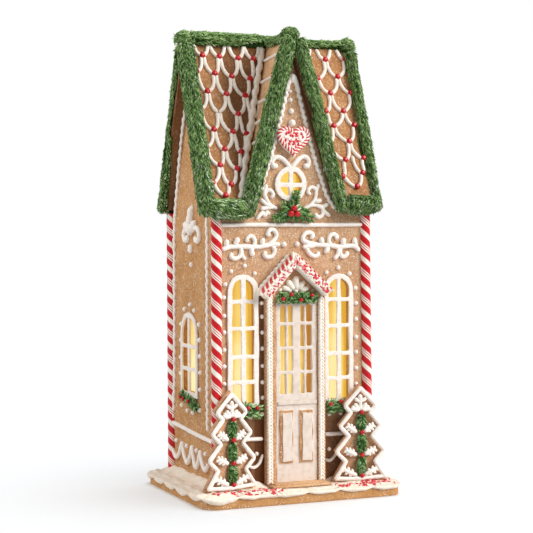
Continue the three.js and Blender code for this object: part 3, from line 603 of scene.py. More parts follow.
def hand_cut(node, name, grain, wander, keep=0.35):
    """A CAD node as it is cut and smoothed by hand: its edges are soft and wander a little."""
    piece = whole_copy(node, name, flat=False)
    applied(piece, "REMESH", mode="VOXEL", voxel_size=grain, use_smooth_shade=True)
    applied(piece, "SMOOTH", factor=0.6, iterations=4)
    count = len(piece.data.vertices)
    spots = np.empty(count * 3, np.float32)
    piece.data.vertices.foreach_get("co", spots)
    spots = spots.reshape(count, 3) / MM
    level, height = spots[:, 0] + spots[:, 1], spots[:, 2]
    sway = np.sin(height * 0.083 + level * 0.35) + 0.6 * np.sin(height * 0.21 + level * 0.9)
    rise = np.sin(level * 0.23 + height * 0.11) + 0.5 * np.sin(level * 0.61)
    flat = 1 if np.ptp(spots[:, 1]) > np.ptp(spots[:, 0]) else 0
    spots[:, flat] += wander * sway
    spots[:, 2] += wander * 0.8 * rise * (height > height.min() + 3)
    piece.data.vertices.foreach_set("co", (spots * MM).ravel())
    piece.data.update()
    applied(piece, "DECIMATE", ratio=keep)
    bpy.ops.object.shade_smooth_by_angle(angle=math.radians(60))
    return piece


frame_icing = royal_icing("window icing", tint(246, 237, 229), tint(234, 222, 211))
for side in ("front_left", "front_right", "back", "left", "right"):
    across = 1 if side in ("left", "right") else 0
    pane = f"window_pane_{side}"
    low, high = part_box(pane)
    dressed(pane, lit_pane(f"amber glass {side}", pane, across, high.z - low.z))
    window = hand_cut(f"window_frame_{side}", f"icing_window_{side}", FRAME_GRAIN, 0.3)
    fitted(window, "royal_icing", frame_icing, f"window_frame_{side}")
oval_glass = lit_pane("amber glass oval", "oval_window_pane", 0, 0.06, bright=tint(252, 208, 96))
dressed("oval_window_pane", oval_glass)
oval = hand_cut("oval_window_frame", "icing_window_oval", FRAME_GRAIN, 0.3)
fitted(oval, "royal_icing", frame_icing, "oval_window_frame")

# ---- Piped icing on the walls ----------------------------------------------------------
# Lines, scrolls and dots of royal icing, squeezed from a bag with a round nozzle. They stand
# up from the dough, sag a little, and end in small round blobs.
WHITE_LINE = 4.4
WALL_DOT, CENTRE_DOT, SIDE_DOT = 5.0, 6.0, 5.6
BRANCH_FULLNESS = 1.18
LINE_STEP, LINE_HEIGHT, LINE_LIFT = 1.1, 0.95, 0.42
piping_hand = np.random.default_rng(41)


def surface(origin, right, up, out):
    """A matrix from millimetres along a face (right, up, out of it) to a place on the house."""
    turn = Matrix((right, up, out)).transposed().to_4x4()
    return Matrix.Translation(Vector(origin) * MM) @ turn @ Matrix.Scale(MM, 4)


def front_at(y):
    """An upright face towards the front."""
    return surface((0, y, 0), (1, 0, 0), (0, 0, 1), (0, -1, 0))


def back_at(y):
    """An upright face towards the back."""
    return surface((0, y, 0), (1, 0, 0), (0, 0, 1), (0, 1, 0))


def side_at(x):
    """An upright face towards the left if x is negative, or the right."""
    return surface((x, 0, 0), (0, 1, 0), (0, 0, 1), (math.copysign(1, x), 0, 0))


FRONT, BACK = front_at(HOUSE_FRONT), back_at(HOUSE_BACK)
LEFT, RIGHT = side_at(HOUSE_LEFT), side_at(HOUSE_RIGHT)


def eased(points, step=0.6):
    """Close-set points on the smooth curve through a few."""
    points = np.array(points, float)
    guides = np.vstack([2 * points[0] - points[1], points, 2 * points[-1] - points[-2]])
    curve = []
    for before, start, end, after in zip(guides, guides[1:], guides[2:], guides[3:]):
        for t in np.linspace(0, 1, max(2, int(np.linalg.norm(end - start) / step)), endpoint=False):
            bend = (-before + 3 * start - 3 * end + after) * t ** 3
            bow = (2 * before - 5 * start + 4 * end - after) * t ** 2
            curve.append(0.5 * (2 * start + (end - before) * t + bow + bend))
    curve.append(points[-1])
    return np.array(curve)


def squeezed(points, width=WHITE_LINE, blob=0.0, wave=0.0, pitch=9.5, straight=False):
    """One piped line: its centre line and radii. It has round ends, an unsteady width, a blob at its
    last end, and if it is waved it wiggles by that much to each side."""
    path = np.array(points, float) if straight else eased(points)
    run = np.concatenate([[0], np.cumsum(np.linalg.norm(np.diff(path, axis=0), axis=1))])
    length = run[-1]
    radius = width / 2
    tip = radius * np.array([0.0, 0.06, 0.2, 0.45, 0.75])
    along = np.concatenate([tip, np.arange(radius, length - radius, LINE_STEP), length - tip[::-1]])
    centre = np.stack([np.interp(along, run, path[:, axis]) for axis in (0, 1)], axis=1)
    phases = piping_hand.uniform(0, 6.28, 3)
    unsteady = sum(np.sin(along / size + phase) for size, phase in zip((1.9, 3.4, 7.1), phases)) / 3
    round_off = np.clip(np.minimum(along, length - along) / radius, 0, 1)
    radii = radius * (1 + 0.09 * unsteady) * np.sqrt(1 - (1 - round_off) ** 2)
    radii *= 1 + blob * np.exp(-(((length - along - radius) / (1.3 * radius)) ** 2))
    if wave:
        heading = np.gradient(centre, axis=0)
        heading /= np.linalg.norm(heading, axis=1, keepdims=True)
        wiggle = wave * np.sin(along * 2 * math.pi / pitch + phases[0])[:, None]
        centre = centre + np.stack([-heading[:, 1], heading[:, 0]], axis=1) * wiggle
        radii *= 1 + 0.13 * np.sin(along * 2 * math.pi / pitch + phases[0] + 1.4)
    return centre, radii


def piped(rows):
    """Piped lines from rows of their points, width and perhaps blob and wave, in order."""
    return [squeezed(*row) for row in rows]


def laid_on(name, face, lines):
    """Pipe lines onto a face: half-sunk tubes, a little flatter than round."""
    curve = bpy.data.curves.new(name, "CURVE")
    curve.dimensions = "3D"
    curve.bevel_depth = 1
    curve.bevel_resolution = 2
    for centre, radii in lines:
        spline = curve.splines.new("POLY")
        spline.points.add(len(centre) - 1)
        spline.points.foreach_set("co", np.c_[centre, radii * LINE_LIFT, np.ones(len(centre))].ravel())
        spline.points.foreach_set("radius", radii)
    piece = bpy.data.objects.new(name, curve)
    bpy.context.scene.collection.objects.link(piece)
    alone(piece)
    bpy.ops.object.convert(target="MESH")
    piece = bpy.context.object
    face = face @ Matrix.Diagonal((1, 1, LINE_HEIGHT, 1))
    piece.data.transform(face)
    if face.determinant() < 0:
        piece.data.flip_normals()
    piece.data.polygons.foreach_set("use_smooth", np.ones(len(piece.data.polygons), bool))
    return piece


def dropped(corner):
    """A dot of icing is round and low, with the small peak that the nozzle leaves."""
    lean = max(0.0, corner.z - 0.3)
    corner.x += lean * 0.12
    corner.z = corner.z * 0.8 + lean * 0.35


dot = ball_shape(12, 8, dropped)


def iced(name, face, lines, dots, finish):
    """All the piping of one face as one piece: its lines and its dots (right, up, size)."""
    pieces = [laid_on(name, face, lines)]
    if dots:
        places = []
        for right, up, size in dots:
            size *= piping_hand.uniform(0.94, 1.06)
            places.append(face @ Matrix.Translation((right, up, size * 0.12)) @ Matrix.Scale(size, 4))
        pieces.append(scattered("dots", dot, places))
    return fitted(joined(name, *pieces), "royal_icing", finish)


wall_icing = royal_icing("piped icing", tint(252, 244, 236), tint(242, 232, 221), 2.2 * MM)
BAND = [([(-86, 302.3), (-30, 302.6), (30, 302.0), (87, 302.4)], 4.7)]
BRANCHES = [
    ([(-84.6, 275.8), (-74, 278.8), (-62, 279), (-50, 278.6), (-40, 278.5), (-29, 280.5),
      (-16, 281)], 4.6),
    ([(-78.6, 278.5), (-78.9, 283), (-78.2, 286.4)], 4.8, 0.12),
    ([(-68.6, 279), (-67.6, 284), (-65.4, 288.2)], 5.0, 0.15),
    ([(-36.9, 279.5), (-36.8, 284), (-35.6, 287.6)], 4.8, 0.15),
    ([(-48.6, 278.6), (-45.6, 283.4), (-47.2, 289), (-51.6, 290.2), (-55, 287),
      (-53.4, 284.6)], 4.0, 0.1),
    ([(-30, 280.6), (-23, 285.6), (-19.9, 291.4), (-22.6, 296.6), (-28, 296.8), (-30.4, 292.8),
      (-27.6, 290.6)], 4.4, 0.1),
    ([(-62.4, 279), (-61.4, 272.6), (-64.8, 267.4), (-70.2, 266), (-74, 269.2),
      (-71.8, 271.6)], 4.2, 0.1),
    ([(-61.8, 273), (-59.6, 268), (-56.4, 264.6)], 3.8),
    ([(-49.6, 278.4), (-49.4, 273), (-47.6, 268.8)], 4.6, 0.1),
    ([(-24.8, 280), (-22, 274.4), (-25, 268.4), (-31, 267), (-34.4, 270.2), (-32, 272.4)], 4.2, 0.1),
    ([(21.4, 287.4), (24, 290.4), (20.4, 293.8), (14.6, 292.6), (11.6, 288), (14, 284), (20, 282),
      (28, 280.3), (38.7, 279.6), (47, 279), (55.2, 277.6), (63.5, 278.2), (73.6, 278.6), (78, 276.6),
      (81.2, 272.4)], 4.6),
    ([(11.6, 277.6), (18, 278.6), (28, 279.8)], 4.8, -0.1),
    ([(46, 279.2), (43.4, 284.6), (45.2, 290.2), (50, 291.8), (53.6, 288.8), (51.8, 286.6)], 4.3, 0.1),
    ([(35.4, 280.4), (34.4, 284.6), (33.3, 288)], 4.8, 0.15),
    ([(61.2, 279), (61.2, 283.4), (61.9, 286.8)], 4.9, 0.15),
    ([(77.4, 277.4), (75.6, 282.4), (75.3, 287.4)], 4.9, 0.12),
    ([(15.4, 278), (18.6, 272.2), (22.2, 268.8), (27, 267.4), (30.4, 269.6), (29, 272)], 4.2, 0.1),
    ([(43, 277.4), (40.8, 274), (38.7, 271.4)], 4.8, 0.12),
    ([(55.4, 276.6), (54.8, 270), (50.2, 263.8)], 4.4, 0.15),
    ([(58, 276.6), (57.6, 270.4), (61, 266.4), (65.4, 268.6), (65.6, 272.2)], 4.2, 0.1),
]
WAINSCOT = [
    ([(-86, 68.4), (-60, 68), (-37, 67.8)], 4.6),
    ([(38, 68.2), (62, 68.2), (86, 68.6)], 4.6),
    ([(-62, 50), (-56, 41.4), (-49, 36.6), (-42, 40.4), (-37, 50.6)], 3.7),
    ([(38, 40), (44, 38.6), (50, 43), (55, 51), (62, 41), (70, 38)], 3.7),
]
DOTS_LEFT = ((-57.5, 258), (-73.5, 252.2), (-45.7, 249.4), (-80.3, 238.1), (-81.9, 224), (-81.9, 204),
             (-81.9, 186), (-81.9, 167), (-81.9, 149), (-81.9, 130), (-38.2, 231), (-37.6, 217),
             (-37.2, 202), (-37, 184.5), (-37, 167), (-37, 148), (-37, 130), (-37, 113), (-37.4, 95),
             (-51.6, 92), (-64, 91), (-44.5, 51.6))
DOTS_RIGHT = ((55.2, 254.3), (40.7, 249.1), (69.1, 247.4), (76.6, 231.1), (77.2, 214), (77.2, 196),
              (77.2, 176), (77.2, 159), (77.2, 141), (77.2, 123), (43.6, 90.6), (58, 91), (70, 93),
              (43.4, 51.4), (62, 52))
CENTRE_DOTS = ((-10.9, 280.8), (5.0, 281.0))
wall_dots = [(x, z, WALL_DOT) for x, z in DOTS_LEFT + DOTS_RIGHT]
wall_dots += [(x, z, CENTRE_DOT) for x, z in CENTRE_DOTS]
band = piped(BAND)
branches = [(centre, radii * BRANCH_FULLNESS) for centre, radii in piped(BRANCHES)]
iced("icing_front", FRONT, band + branches + piped(WAINSCOT), wall_dots, wall_icing)

# ---- Piping on the gable ---------------------------------------------------------------
# Wavy lines follow the gable's two slopes up to an iced peak. Four dots drop from it to the
# heart, and scrolls spring from the oval window.
RAKE_LINE = ((5.1, 455), (9.3, 439.5), (14.1, 420), (21, 395.5), (27.6, 372), (34, 355), (42, 333.4),
             (54, 317.8))
GABLE_SCROLLS = [
    ([(-3.4, 365.6), (-11.6, 374.4), (-19.4, 376.8), (-24.8, 372), (-23, 366.8),
      (-18.4, 367.6)], 5.5, 0.1),
    ([(-1.4, 365.6), (6.2, 374), (13.8, 377.8), (19.2, 373.8), (17.8, 367.4), (13.2, 368.4)], 5.5, 0.1),
    ([(13, 319.6), (21.4, 324.4), (27, 331.6), (28.8, 340.6), (31.4, 347.4)], 4.2, 0.1),
    ([(28.6, 340), (25, 344), (20, 342.8), (18.4, 338.4), (21.6, 335.8)], 4.2, 0.1),
    ([(26.4, 328.4), (30.4, 328.6), (34.4, 330.2)], 4.6, 0.15),
    ([(32.6, 323.6), (37, 322.8), (42.6, 325.6)], 4.4, 0.15),
    ([(21, 323.6), (28, 324), (34.6, 321.4), (39.4, 316.4), (45.4, 312)], 4.0, 0.1),
    ([(35.6, 320), (36, 313.6), (31, 310.8), (26, 314.6)], 4.6, 0.15),
    ([(-18.6, 320.2), (-26, 323.6), (-31.4, 330.4), (-34, 338), (-31.2, 346.6)], 4.2, 0.1),
    ([(-33, 335.6), (-30.4, 340.4), (-25.4, 339.4), (-23.6, 334.8), (-26.4, 332.6)], 4.2, 0.1),
    ([(-24.6, 322.4), (-31.6, 325), (-38.4, 330.6)], 4.4, 0.1),
    ([(-22.6, 321.8), (-30, 321.2), (-38.8, 320)], 4.4, 0.1),
    ([(-27.6, 313.6), (-31, 316.6), (-33.4, 312.6), (-36.8, 315.6), (-43.4, 308.8)], 4.4, 0.1),
    ([(-0.6, 467), (-4.5, 458.6), (-8, 449.4)], 6.0),
    ([(0.6, 467), (4.2, 458.6), (7.2, 449.4)], 6.0),
    ([(0, 468), (-0.2, 463), (-0.4, 458.6)], 8.0),
]
gable_scrolls = piped(GABLE_SCROLLS)
rake_lines = [squeezed([(side * x, z) for x, z in RAKE_LINE], 4.6, wave=0.75, pitch=7.6) for side in (-1, 1)]
gable_dots = [(-2.2, 449, 3.9), (-2.4, 439.6, 5.0), (-1.6, 427.4, 6.6), (-0.8, 414.2, 9.0)]
iced("icing_gable", FRONT, gable_scrolls + rake_lines, gable_dots, wall_icing)

# ---- Piping on the side walls ----------------------------------------------------------
# A wavy line runs up each edge of the side wall and on under the roof, with a flourish over
# the window, dots round it, and a line and looped swags along the foot.
SWAG_PEAKS = ((88, 50), (47.7, 51.6), (13.9, 51.6), (-12.2, 49.8), (-44, 47.6))
SWAG_LOWS = (32.6, 31.2, 30.2, 31.4)


def swags(peaks, lows):
    """Loops like a row of joined letters u: sharp between the peaks, round below."""
    points = []
    for (left, left_z), (right, right_z), low in zip(peaks, peaks[1:], lows):
        for share in np.linspace(0, 1, 14, endpoint=False):
            rim = left_z + (right_z - left_z) * share
            points.append((left + (right - left) * share, low + (rim - low) * abs(2 * share - 1) ** 1.8))
    return points + [peaks[-1]]


SIDE_LINES = [
    ([(80.4, 74), (74.3, 122), (72.5, 215), (71, 297), (65.3, 326), (48.5, 389), (32.8, 432),
      (16, 470)], 4.2, 0.0, 1.0),
    ([(-35.4, 76), (-35.7, 132), (-36.5, 220), (-36.7, 297), (-30, 330), (-18, 372), (-6, 412),
      (4, 450)], 4.2, 0.0, 1.0),
    ([(-56, 65.2), (-40, 66), (0, 67.4), (40, 69.6), (82, 71.8)], 5.2),
    (swags(SWAG_PEAKS, SWAG_LOWS), 5.6),
    ([(8.6, 324.6), (10.4, 317), (13.4, 309), (14, 300)], 6.4),
    ([(9.4, 322.6), (12, 314), (15.4, 304)], 10.4),
    ([(13, 317.6), (17, 310), (18, 302)], 8.0),
    ([(14, 298), (23, 301), (30, 305)], 10.0),
    ([(14, 298), (5, 301), (-3, 306)], 10.0),
    ([(14, 304), (13, 297), (13, 291.6)], 12.0),
    ([(26, 300), (14, 297), (2, 300)], 9.0),
    ([(22, 298), (31, 298), (36.4, 292), (33, 286), (26, 286.2), (22.6, 291)], 6.6),
    ([(6, 298.6), (-4, 299.6), (-11.6, 296), (-13.6, 289.6), (-8.6, 285), (-2, 286), (-1.6, 290)], 6.2),
]
SIDE_DOTS = ((19.5, 212.7), (38.1, 206.6), (5.7, 206.6), (49.3, 188.8), (-9.6, 191.5), (51, 170.2),
             (-11, 174.2), (51.4, 150.5), (-12.4, 156.3), (51.6, 132), (-13.4, 138.2), (-12.4, 119),
             (49.3, 95.2), (29.9, 91.2), (11.6, 90.9), (-11.3, 96), (68.1, 51.9), (33, 50), (0.1, 49.3),
             (-28.1, 49.5))
side_dots = [(y, z, SIDE_DOT) for y, z in SIDE_DOTS]
side_dots += [(16, 274.5, 7.4), (16, 277.5, 7.0), (14.4, 258, 6.2)]
side_lines = piped(SIDE_LINES)
iced("icing_left", LEFT, side_lines, side_dots, wall_icing)
iced("icing_right", RIGHT, side_lines, side_dots, wall_icing)

# ---- Piping on the back wall -----------------------------------------------------------
# The back is iced like the sides: waved edges, a band under the eave, dots round the window,
# and a line and swags along the foot.
back_lines = [squeezed([(side * 78, 74), (side * 77, 150), (side * 78, 230), (side * 77, 296)], 4.2, wave=1.0)
              for side in (-1, 1)]
back_lines += [squeezed([(-86, height), (0, height + 0.6), (86, height)], 4.6) for height in (302.4, 68.2)]
swag = [(x, 41 + 9 * math.cos(x * math.pi / 17)) for x in np.arange(-85, 86, 4.25)]
back_lines.append(squeezed(swag, 3.5))
BACK_SCROLLS = (
    (((5, 274), (16, 278), (30, 276), (46, 279), (62, 276)), 4.4, 0.0),
    (((16, 278), (22, 284), (20, 291), (13, 291), (13, 286)), 4.2, 0.1),
    (((44, 279), (51, 284), (49, 291), (42, 291), (42, 286)), 4.2, 0.1),
    (((30, 276), (36, 271), (34, 264), (27, 265)), 4.2, 0.1),
)
for side in (-1, 1):
    for points, width, blob in BACK_SCROLLS:
        back_lines.append(squeezed([(side * x, z) for x, z in points], width, blob))
back_dots = [(side * 24, z, WALL_DOT) for side in (-1, 1) for z in range(96, 250, 18)]
back_dots += [(x, 93, WALL_DOT) for x in (-12, 0, 12)]
back_dots += [(0, 258, 5.2), (-13, 255, WALL_DOT), (13, 255, WALL_DOT)]
back_dots += [(x, 52, WALL_DOT) for x in range(-68, 70, 34)]
iced("icing_back", BACK, back_lines, back_dots, wall_icing)

# ---- Front door ------------------------------------------------------------------------
# A door of white icing paste with glass above and two sunk panels below. Raised white leaves
# sit in the panels, a little off centre, so the tan dough shows round them.
DOOR_FACE = -67.4
door_icing = royal_icing("door icing", tint(229, 215, 203), tint(218, 202, 187), 6 * MM)
door = hand_cut("door", "iced_door", 0.7 * MM, 0.32, 0.3)
fitted(door, "royal_icing", door_icing, "door")
door_glass = lit_pane("amber glass door", "door_pane", 0, 0.11, tint(176, 116, 40), painted_reveal_shade=0.3)
dressed("door_pane", door_glass)
DOOR = front_at(DOOR_FACE)


def slab_on(name, face, left, right, low, high, thick, edge, finish, slot):
    """A thin cushioned panel on a face, with the uneven edge of something cut by hand."""
    bpy.ops.mesh.primitive_cube_add(size=1)
    slab = bpy.context.object
    slab.name = name
    bpy.ops.object.mode_set(mode="EDIT")
    bpy.ops.mesh.subdivide(number_cuts=9)
    bpy.ops.object.mode_set(mode="OBJECT")
    size = Matrix.Diagonal((right - left, high - low, thick, 1))
    slab.data.transform(Matrix.Translation(((left + right) / 2, (low + high) / 2, thick / 2)) @ size)
    for corner in slab.data.vertices:
        corner.co.x += 0.35 * math.sin(corner.co.y * 0.21 + left)
        corner.co.y += 0.3 * math.sin(corner.co.x * 0.4 + low)
    slab.data.transform(face)
    applied(slab, "BEVEL", width=edge, segments=3, limit_method="ANGLE", angle_limit=math.radians(50))
    bpy.ops.object.shade_smooth_by_angle(angle=math.radians(40))
    return fitted(slab, slot, finish)


PANELS = (("left", -18.8, -3.2, 39.9, 98.1), ("right", 5.0, 20.8, 39.9, 97.5))
panel_dough = gingerbread("door panel dough", tint(196, 146, 98), tint(178, 126, 80), tint(136, 88, 48))
for side, left, right, low, high in PANELS:
    slab_on(f"door_panel_dough_{side}", DOOR, left, right, low, high, 1.5, 0.5 * MM, panel_dough,
            "gingerbread")
    slab_on(f"door_panel_icing_{side}", DOOR, left + 3.2, right - 0.9, low + 1.8, high - 2.8, 2.3, 0.8 * MM,
            door_icing, "royal_icing")
slab_on("door_rail", DOOR, -21, 25.6, 104.4, 107.6, 1.8, 0.6 * MM, door_icing, "royal_icing")

# ---- Porch -----------------------------------------------------------------------------
# Two dough posts carry a small gable. White braids run up the posts, a flourish fills the
# gable, and its roof is iced and dressed with candy strips and crushed peppermint.
BRAID_PITCH, BRAID_LEAN, BRAID_FRONT = 3.7, -34, -69.6
BRAID_DROP = Matrix.Diagonal((3.6 * MM, 4.6 * MM, 7.6 * MM, 1))
porch_dough = gingerbread("porch dough", tint(208, 160, 120), tint(190, 142, 100), tint(146, 98, 62))
for side in ("left", "right"):
    jamb = softened(f"porch_jamb_{side}", f"porch_post_{side}", 0.8 * MM)
    fitted(jamb, "gingerbread", porch_dough, f"porch_jamb_{side}")
pediment = softened("porch_pediment", "porch_gable", 0.6 * MM)
fitted(pediment, "gingerbread", porch_dough, "porch_pediment")
porch_icing = royal_icing("porch icing", tint(250, 241, 230), tint(238, 227, 211), 2.4 * MM)
for side in ("left", "right"):
    slope = softened(f"porch_roof_{side}", f"porch_slope_{side}", 1.6 * MM, 4)
    fitted(slope, "royal_icing", porch_icing, f"porch_roof_{side}")


def drawn_out(corner):
    """A teardrop of icing lies along z: fat below, drawn to a point above."""
    thin = 1 - 0.75 * max(0.0, corner.z + 0.1)
    corner.x *= thin
    corner.y *= thin


drop = ball_shape(8, 7, drawn_out)
braids = []
for middle, top in ((-31.0, 224), (31.3, 221)):
    for height in np.arange(19.4, top, BRAID_PITCH):
        for side in (-1, 1):
            spread = Matrix.Rotation(side * math.radians(BRAID_LEAN), 4, "Y")
            spot = Vector((middle + side * 1.1, BRAID_FRONT, height + 1.6)) * MM
            braids.append(Matrix.Translation(spot) @ spread @ BRAID_DROP)
fitted(scattered("porch_braids", drop, braids), "royal_icing", porch_icing)

PEDIMENT = front_at(-68.4)
PETALS = (((0.4, 231.4), (0.2, 245.6), 6.4), ((-2.6, 230.8), (-9.6, 241), 5.8),
          ((3.4, 230.8), (9.8, 239.8), 5.7), ((-5, 229.2), (-15.6, 234), 5.0),
          ((6, 229.2), (15.4, 232.8), 5.0))
petals = [squeezed([root, ((root[0] + tip[0]) / 2, (root[1] + tip[1]) / 2 + 0.3), tip], width * 1.15, 0.12)
          for root, tip, width in PETALS]
petals += [squeezed([(-19.6, 229.6), (-16, 232.4)], 4.0), squeezed([(19.4, 229), (21.4, 230)], 3.6)]
iced("porch_flourish", PEDIMENT, petals, [(0.6, 229.5, 6.0)], porch_icing)

PORCH_PEAK = Vector((-3.2, 0, 270.4))
PORCH_TIPS = {"left": Vector((-43.5, 0, 227.8)), "right": Vector((39.8, 0, 230.4))}
PORCH_FRONT, PORCH_MIDDLE, PORCH_BACK = -81.0, -74.4, -65.9


def porch_place(side, share, below, y):
    """A place on the porch roof: share of the way down its slope, so far below its top edge."""
    down = (PORCH_TIPS[side] - PORCH_PEAK).normalized()
    inward = Vector((-down.z, 0, down.x))
    inward = inward if inward.z < 0 else -inward
    spot = PORCH_PEAK.lerp(PORCH_TIPS[side], share) + inward * below
    return Vector((spot.x, y, spot.z)), down, inward


def squared_off(corner):
    """A short stick of candy lies along z, with round ends."""
    wider = 1.35 - 0.9 * abs(corner.z)
    corner.x *= wider
    corner.y *= wider


def two_tone(name, red, white):
    """Pulled sugar: each stick is red or white, with a fine streak along it."""
    sugar = Finish(name, Roughness=0.36, Coat_Weight=0.15)
    streak = sugar.noise(sugar.place(), 1.1 * MM, 3)
    colour = sugar.blend(sugar.step(sugar.attribute("kind"), 0.4, 0.6), white, red)
    sugar.give("Base Color", sugar.blend(sugar.step(streak, 0.5, 0.8) * 0.25, colour, tint(250, 225, 215)))
    sugar.give("Roughness", 0.25 + 0.2 * streak)
    sugar.bump(streak, 0.12 * MM)
    return sugar


capsule = ball_shape(8, 8, squared_off)
candy_sugar = two_tone("candy strips", tint(214, 20, 38), tint(250, 242, 228))
strip_places = []
strip_kinds = []
STRIPS = 17
for side in ("left", "right"):
    for index in range(STRIPS):
        spot, down, inward = porch_place(side, 0.03 + 0.93 * index / (STRIPS - 1), -0.3, PORCH_MIDDLE)
        along = (Vector((0, -1, 0)) * 0.84 + down * 0.54).normalized()
        across = along.cross(inward).normalized()
        turn = Matrix((across, inward, along)).transposed().to_4x4()
        size = Matrix.Diagonal(((3.5, 4.5)[index % 2] * MM, 3.5 * MM, 17.6 * MM, 1))
        strip_places.append(Matrix.Translation(spot * MM) @ turn @ size)
        strip_kinds.append(index % 2)
fitted(scattered("porch_candy_strips", capsule, strip_places, kind=strip_kinds), "candy_stripe", candy_sugar)

bpy.ops.mesh.primitive_uv_sphere_add(segments=24, ring_count=14, radius=1)
heap_shape = taken(bpy.context.object)
LUMPS, GOLDEN = 9, 0.618
LUMP = Matrix.Diagonal((4.8 * MM, 3.6 * MM, 4.6 * MM, 1))
lumps = []
for side in ("left", "right"):
    for index in range(LUMPS):
        spot = porch_place(side, 0.11 + 0.84 * index / (LUMPS - 1), 0.6, PORCH_BACK)[0]
        lumps.append(Matrix.Translation(spot * MM) @ LUMP)
fitted(scattered("porch_icing_lumps", heap_shape, lumps), "royal_icing", porch_icing)


def chips_on_porch():
    """Peppermint pressed into the front faces of both slopes."""
    hand = np.random.default_rng(51)
    places = []
    for side, count, deepest in (("left", 34, 7.0), ("right", 62, 5.8)):
        for index in range(count):
            share = 0.03 + 0.94 * (index + hand.uniform(-0.4, 0.4)) / count
            below = 1.5 + deepest * (index * GOLDEN % 1)
            spot = porch_place(side, share, below, PORCH_FRONT - 0.1)[0]
            turn = Matrix.Rotation(hand.uniform(0, 6.28), 4, "Y")
            shape = Matrix.Diagonal((hand.uniform(2.2, 4.2) * MM, 1.6 * MM, hand.uniform(1.3, 2.1) * MM, 1))
            places.append(Matrix.Translation(spot * MM) @ turn @ shape)
    return places


porch_chip_places = chips_on_porch()
porch_chip_kinds = np.random.default_rng(52).uniform(0, 1.2, len(porch_chip_places))
porch_chips = scattered("porch_peppermint", chip, porch_chip_places, kind=porch_chip_kinds)
fitted(porch_chips, "candy_stripe", peppermint_candy)

# ---- Roof ------------------------------------------------------------------------------
# Steep slabs of dough. The main slopes are piped with rows of scales, each a loop of icing
# hung from the row above, with a red candy bead pressed into the bottom of the loop.
SLOPE_LENGTH = math.hypot(SLOPE_RUN, SLOPE_FALL)
GABLE_LENGTH = math.hypot(GABLE_FALL, GABLE_RUN)
SCALE_LINE = 4.5
BEAD = 7.1


def roof_painted_shade(dough, x, y, z):
    """Painted shade in cocoa brown: under the eaves, and on the left slope in the cross gable's shadow
    towards the valley and the ridge.
    """
    proud = (abs(y - RIDGE_Y * MM) * SLOPE_FALL + (z - RIDGE_Z * MM) * SLOPE_RUN) / SLOPE_LENGTH
    under = 1 - dough.step(proud, -0.0046, -0.0024)
    ahead = 1 - dough.step(y, 0.0085, 0.0095)
    from_valley = x * -1 - 0.004 - (RIDGE_Z * MM - z) * 0.34
    past_painted_shade = from_valley - (z - 0.34) * 0.32
    on_left = dough.step(x * -1, 0.0, 0.004) * ahead
    left = on_left * (1 - dough.step(past_painted_shade, -0.002, 0.014))
    near_ridge = dough.step(z, 0.478, 0.5) * on_left
    below = under * (0.5 + 0.28 * dough.step(z, 0.35, 0.45))
    return below + (1 - under) * (left * 0.74 + (1 - left) * (near_ridge * 0.3 + on_left * 0.14))


def gable_painted_shade(dough, x, y, z):
    """Painted shade in cocoa brown on the underside of the cross gable's roof."""
    proud = (abs(x) * GABLE_FALL + (z - RIDGE_Z * MM) * GABLE_RUN) / GABLE_LENGTH
    return (1 - dough.step(proud, -0.0046, -0.0022)) * 0.92


ROOF_DOUGH = (tint(190, 138, 92), tint(174, 122, 77), tint(131, 86, 48))
# The cross gable's dough is mixed paler than the main roof's: painted light, since its left slope gets no key
# light.
GABLE_DOUGH = (tint(222, 178, 136), tint(208, 162, 118), tint(164, 118, 76))
roof_dough = gingerbread("roof dough", *ROOF_DOUGH, roof_painted_shade, grit=0.8)
for node in ("roof_front_left", "roof_front_right", "roof_back"):
    dressed(node, roof_dough)
gable_dough = gingerbread("gable roof dough", *GABLE_DOUGH, gable_painted_shade)
for node in ("gable_roof_left", "gable_roof_right"):
    dressed(node, gable_dough)


def slope_face(side):
    """The face of a main slope: right is +X, up is the distance down from the ridge."""
    down = (0, side * SLOPE_RUN / SLOPE_LENGTH, -SLOPE_FALL / SLOPE_LENGTH)
    out = (0, side * SLOPE_FALL / SLOPE_LENGTH, SLOPE_RUN / SLOPE_LENGTH)
    return surface((0, RIDGE_Y, RIDGE_Z), (1, 0, 0), down, out)


def scale_loops(rows):
    """The loops that hang between the beads of one row and those of the row above."""
    lines = []
    for level, row in enumerate(rows):
        above = rows[level - 1] if level else None
        for x, s in row:
            for side in (-1, 1):
                top = (x + side * 10.5, s - 22.5)
                if above:
                    near = [bead for bead in above if 4 < side * (bead[0] - x) < 17]
                    top = min(near, key=lambda bead: abs(bead[0] - x)) if near else top
                    top = (top[0], top[1] + 1.5)
                reach = top[0] - x
                arm = top[0] - side * 1.9
                points = [(arm, max(2.0, top[1])), (arm, max(4.0, s - 15.5)), (arm - side * 0.6, s - 11),
                          (x + reach * 0.58, s - 5), (x + reach * 0.28, s - 1.2), (x + side * 0.8, s + 0.2)]
                lines.append(squeezed(points, SCALE_LINE))
    return lines


def grid_rows(first, last, gap, start, rows, across, low, high):
    """Rows of beads at an even spacing, every other row moved half a loop, set a little unevenly."""
    hand = np.random.default_rng(61)
    made = []
    for level in range(rows):
        shift = 0.5 * across * (level % 2)
        xs = np.arange(first + shift, last, across)
        row = [(x + hand.normal(0, 0.7), start + gap * level + hand.normal(0, 0.8)) for x in xs]
        made.append([bead for bead in row if low < bead[0] < high and bead[1] < SLOPE_LENGTH - 9])
    return made


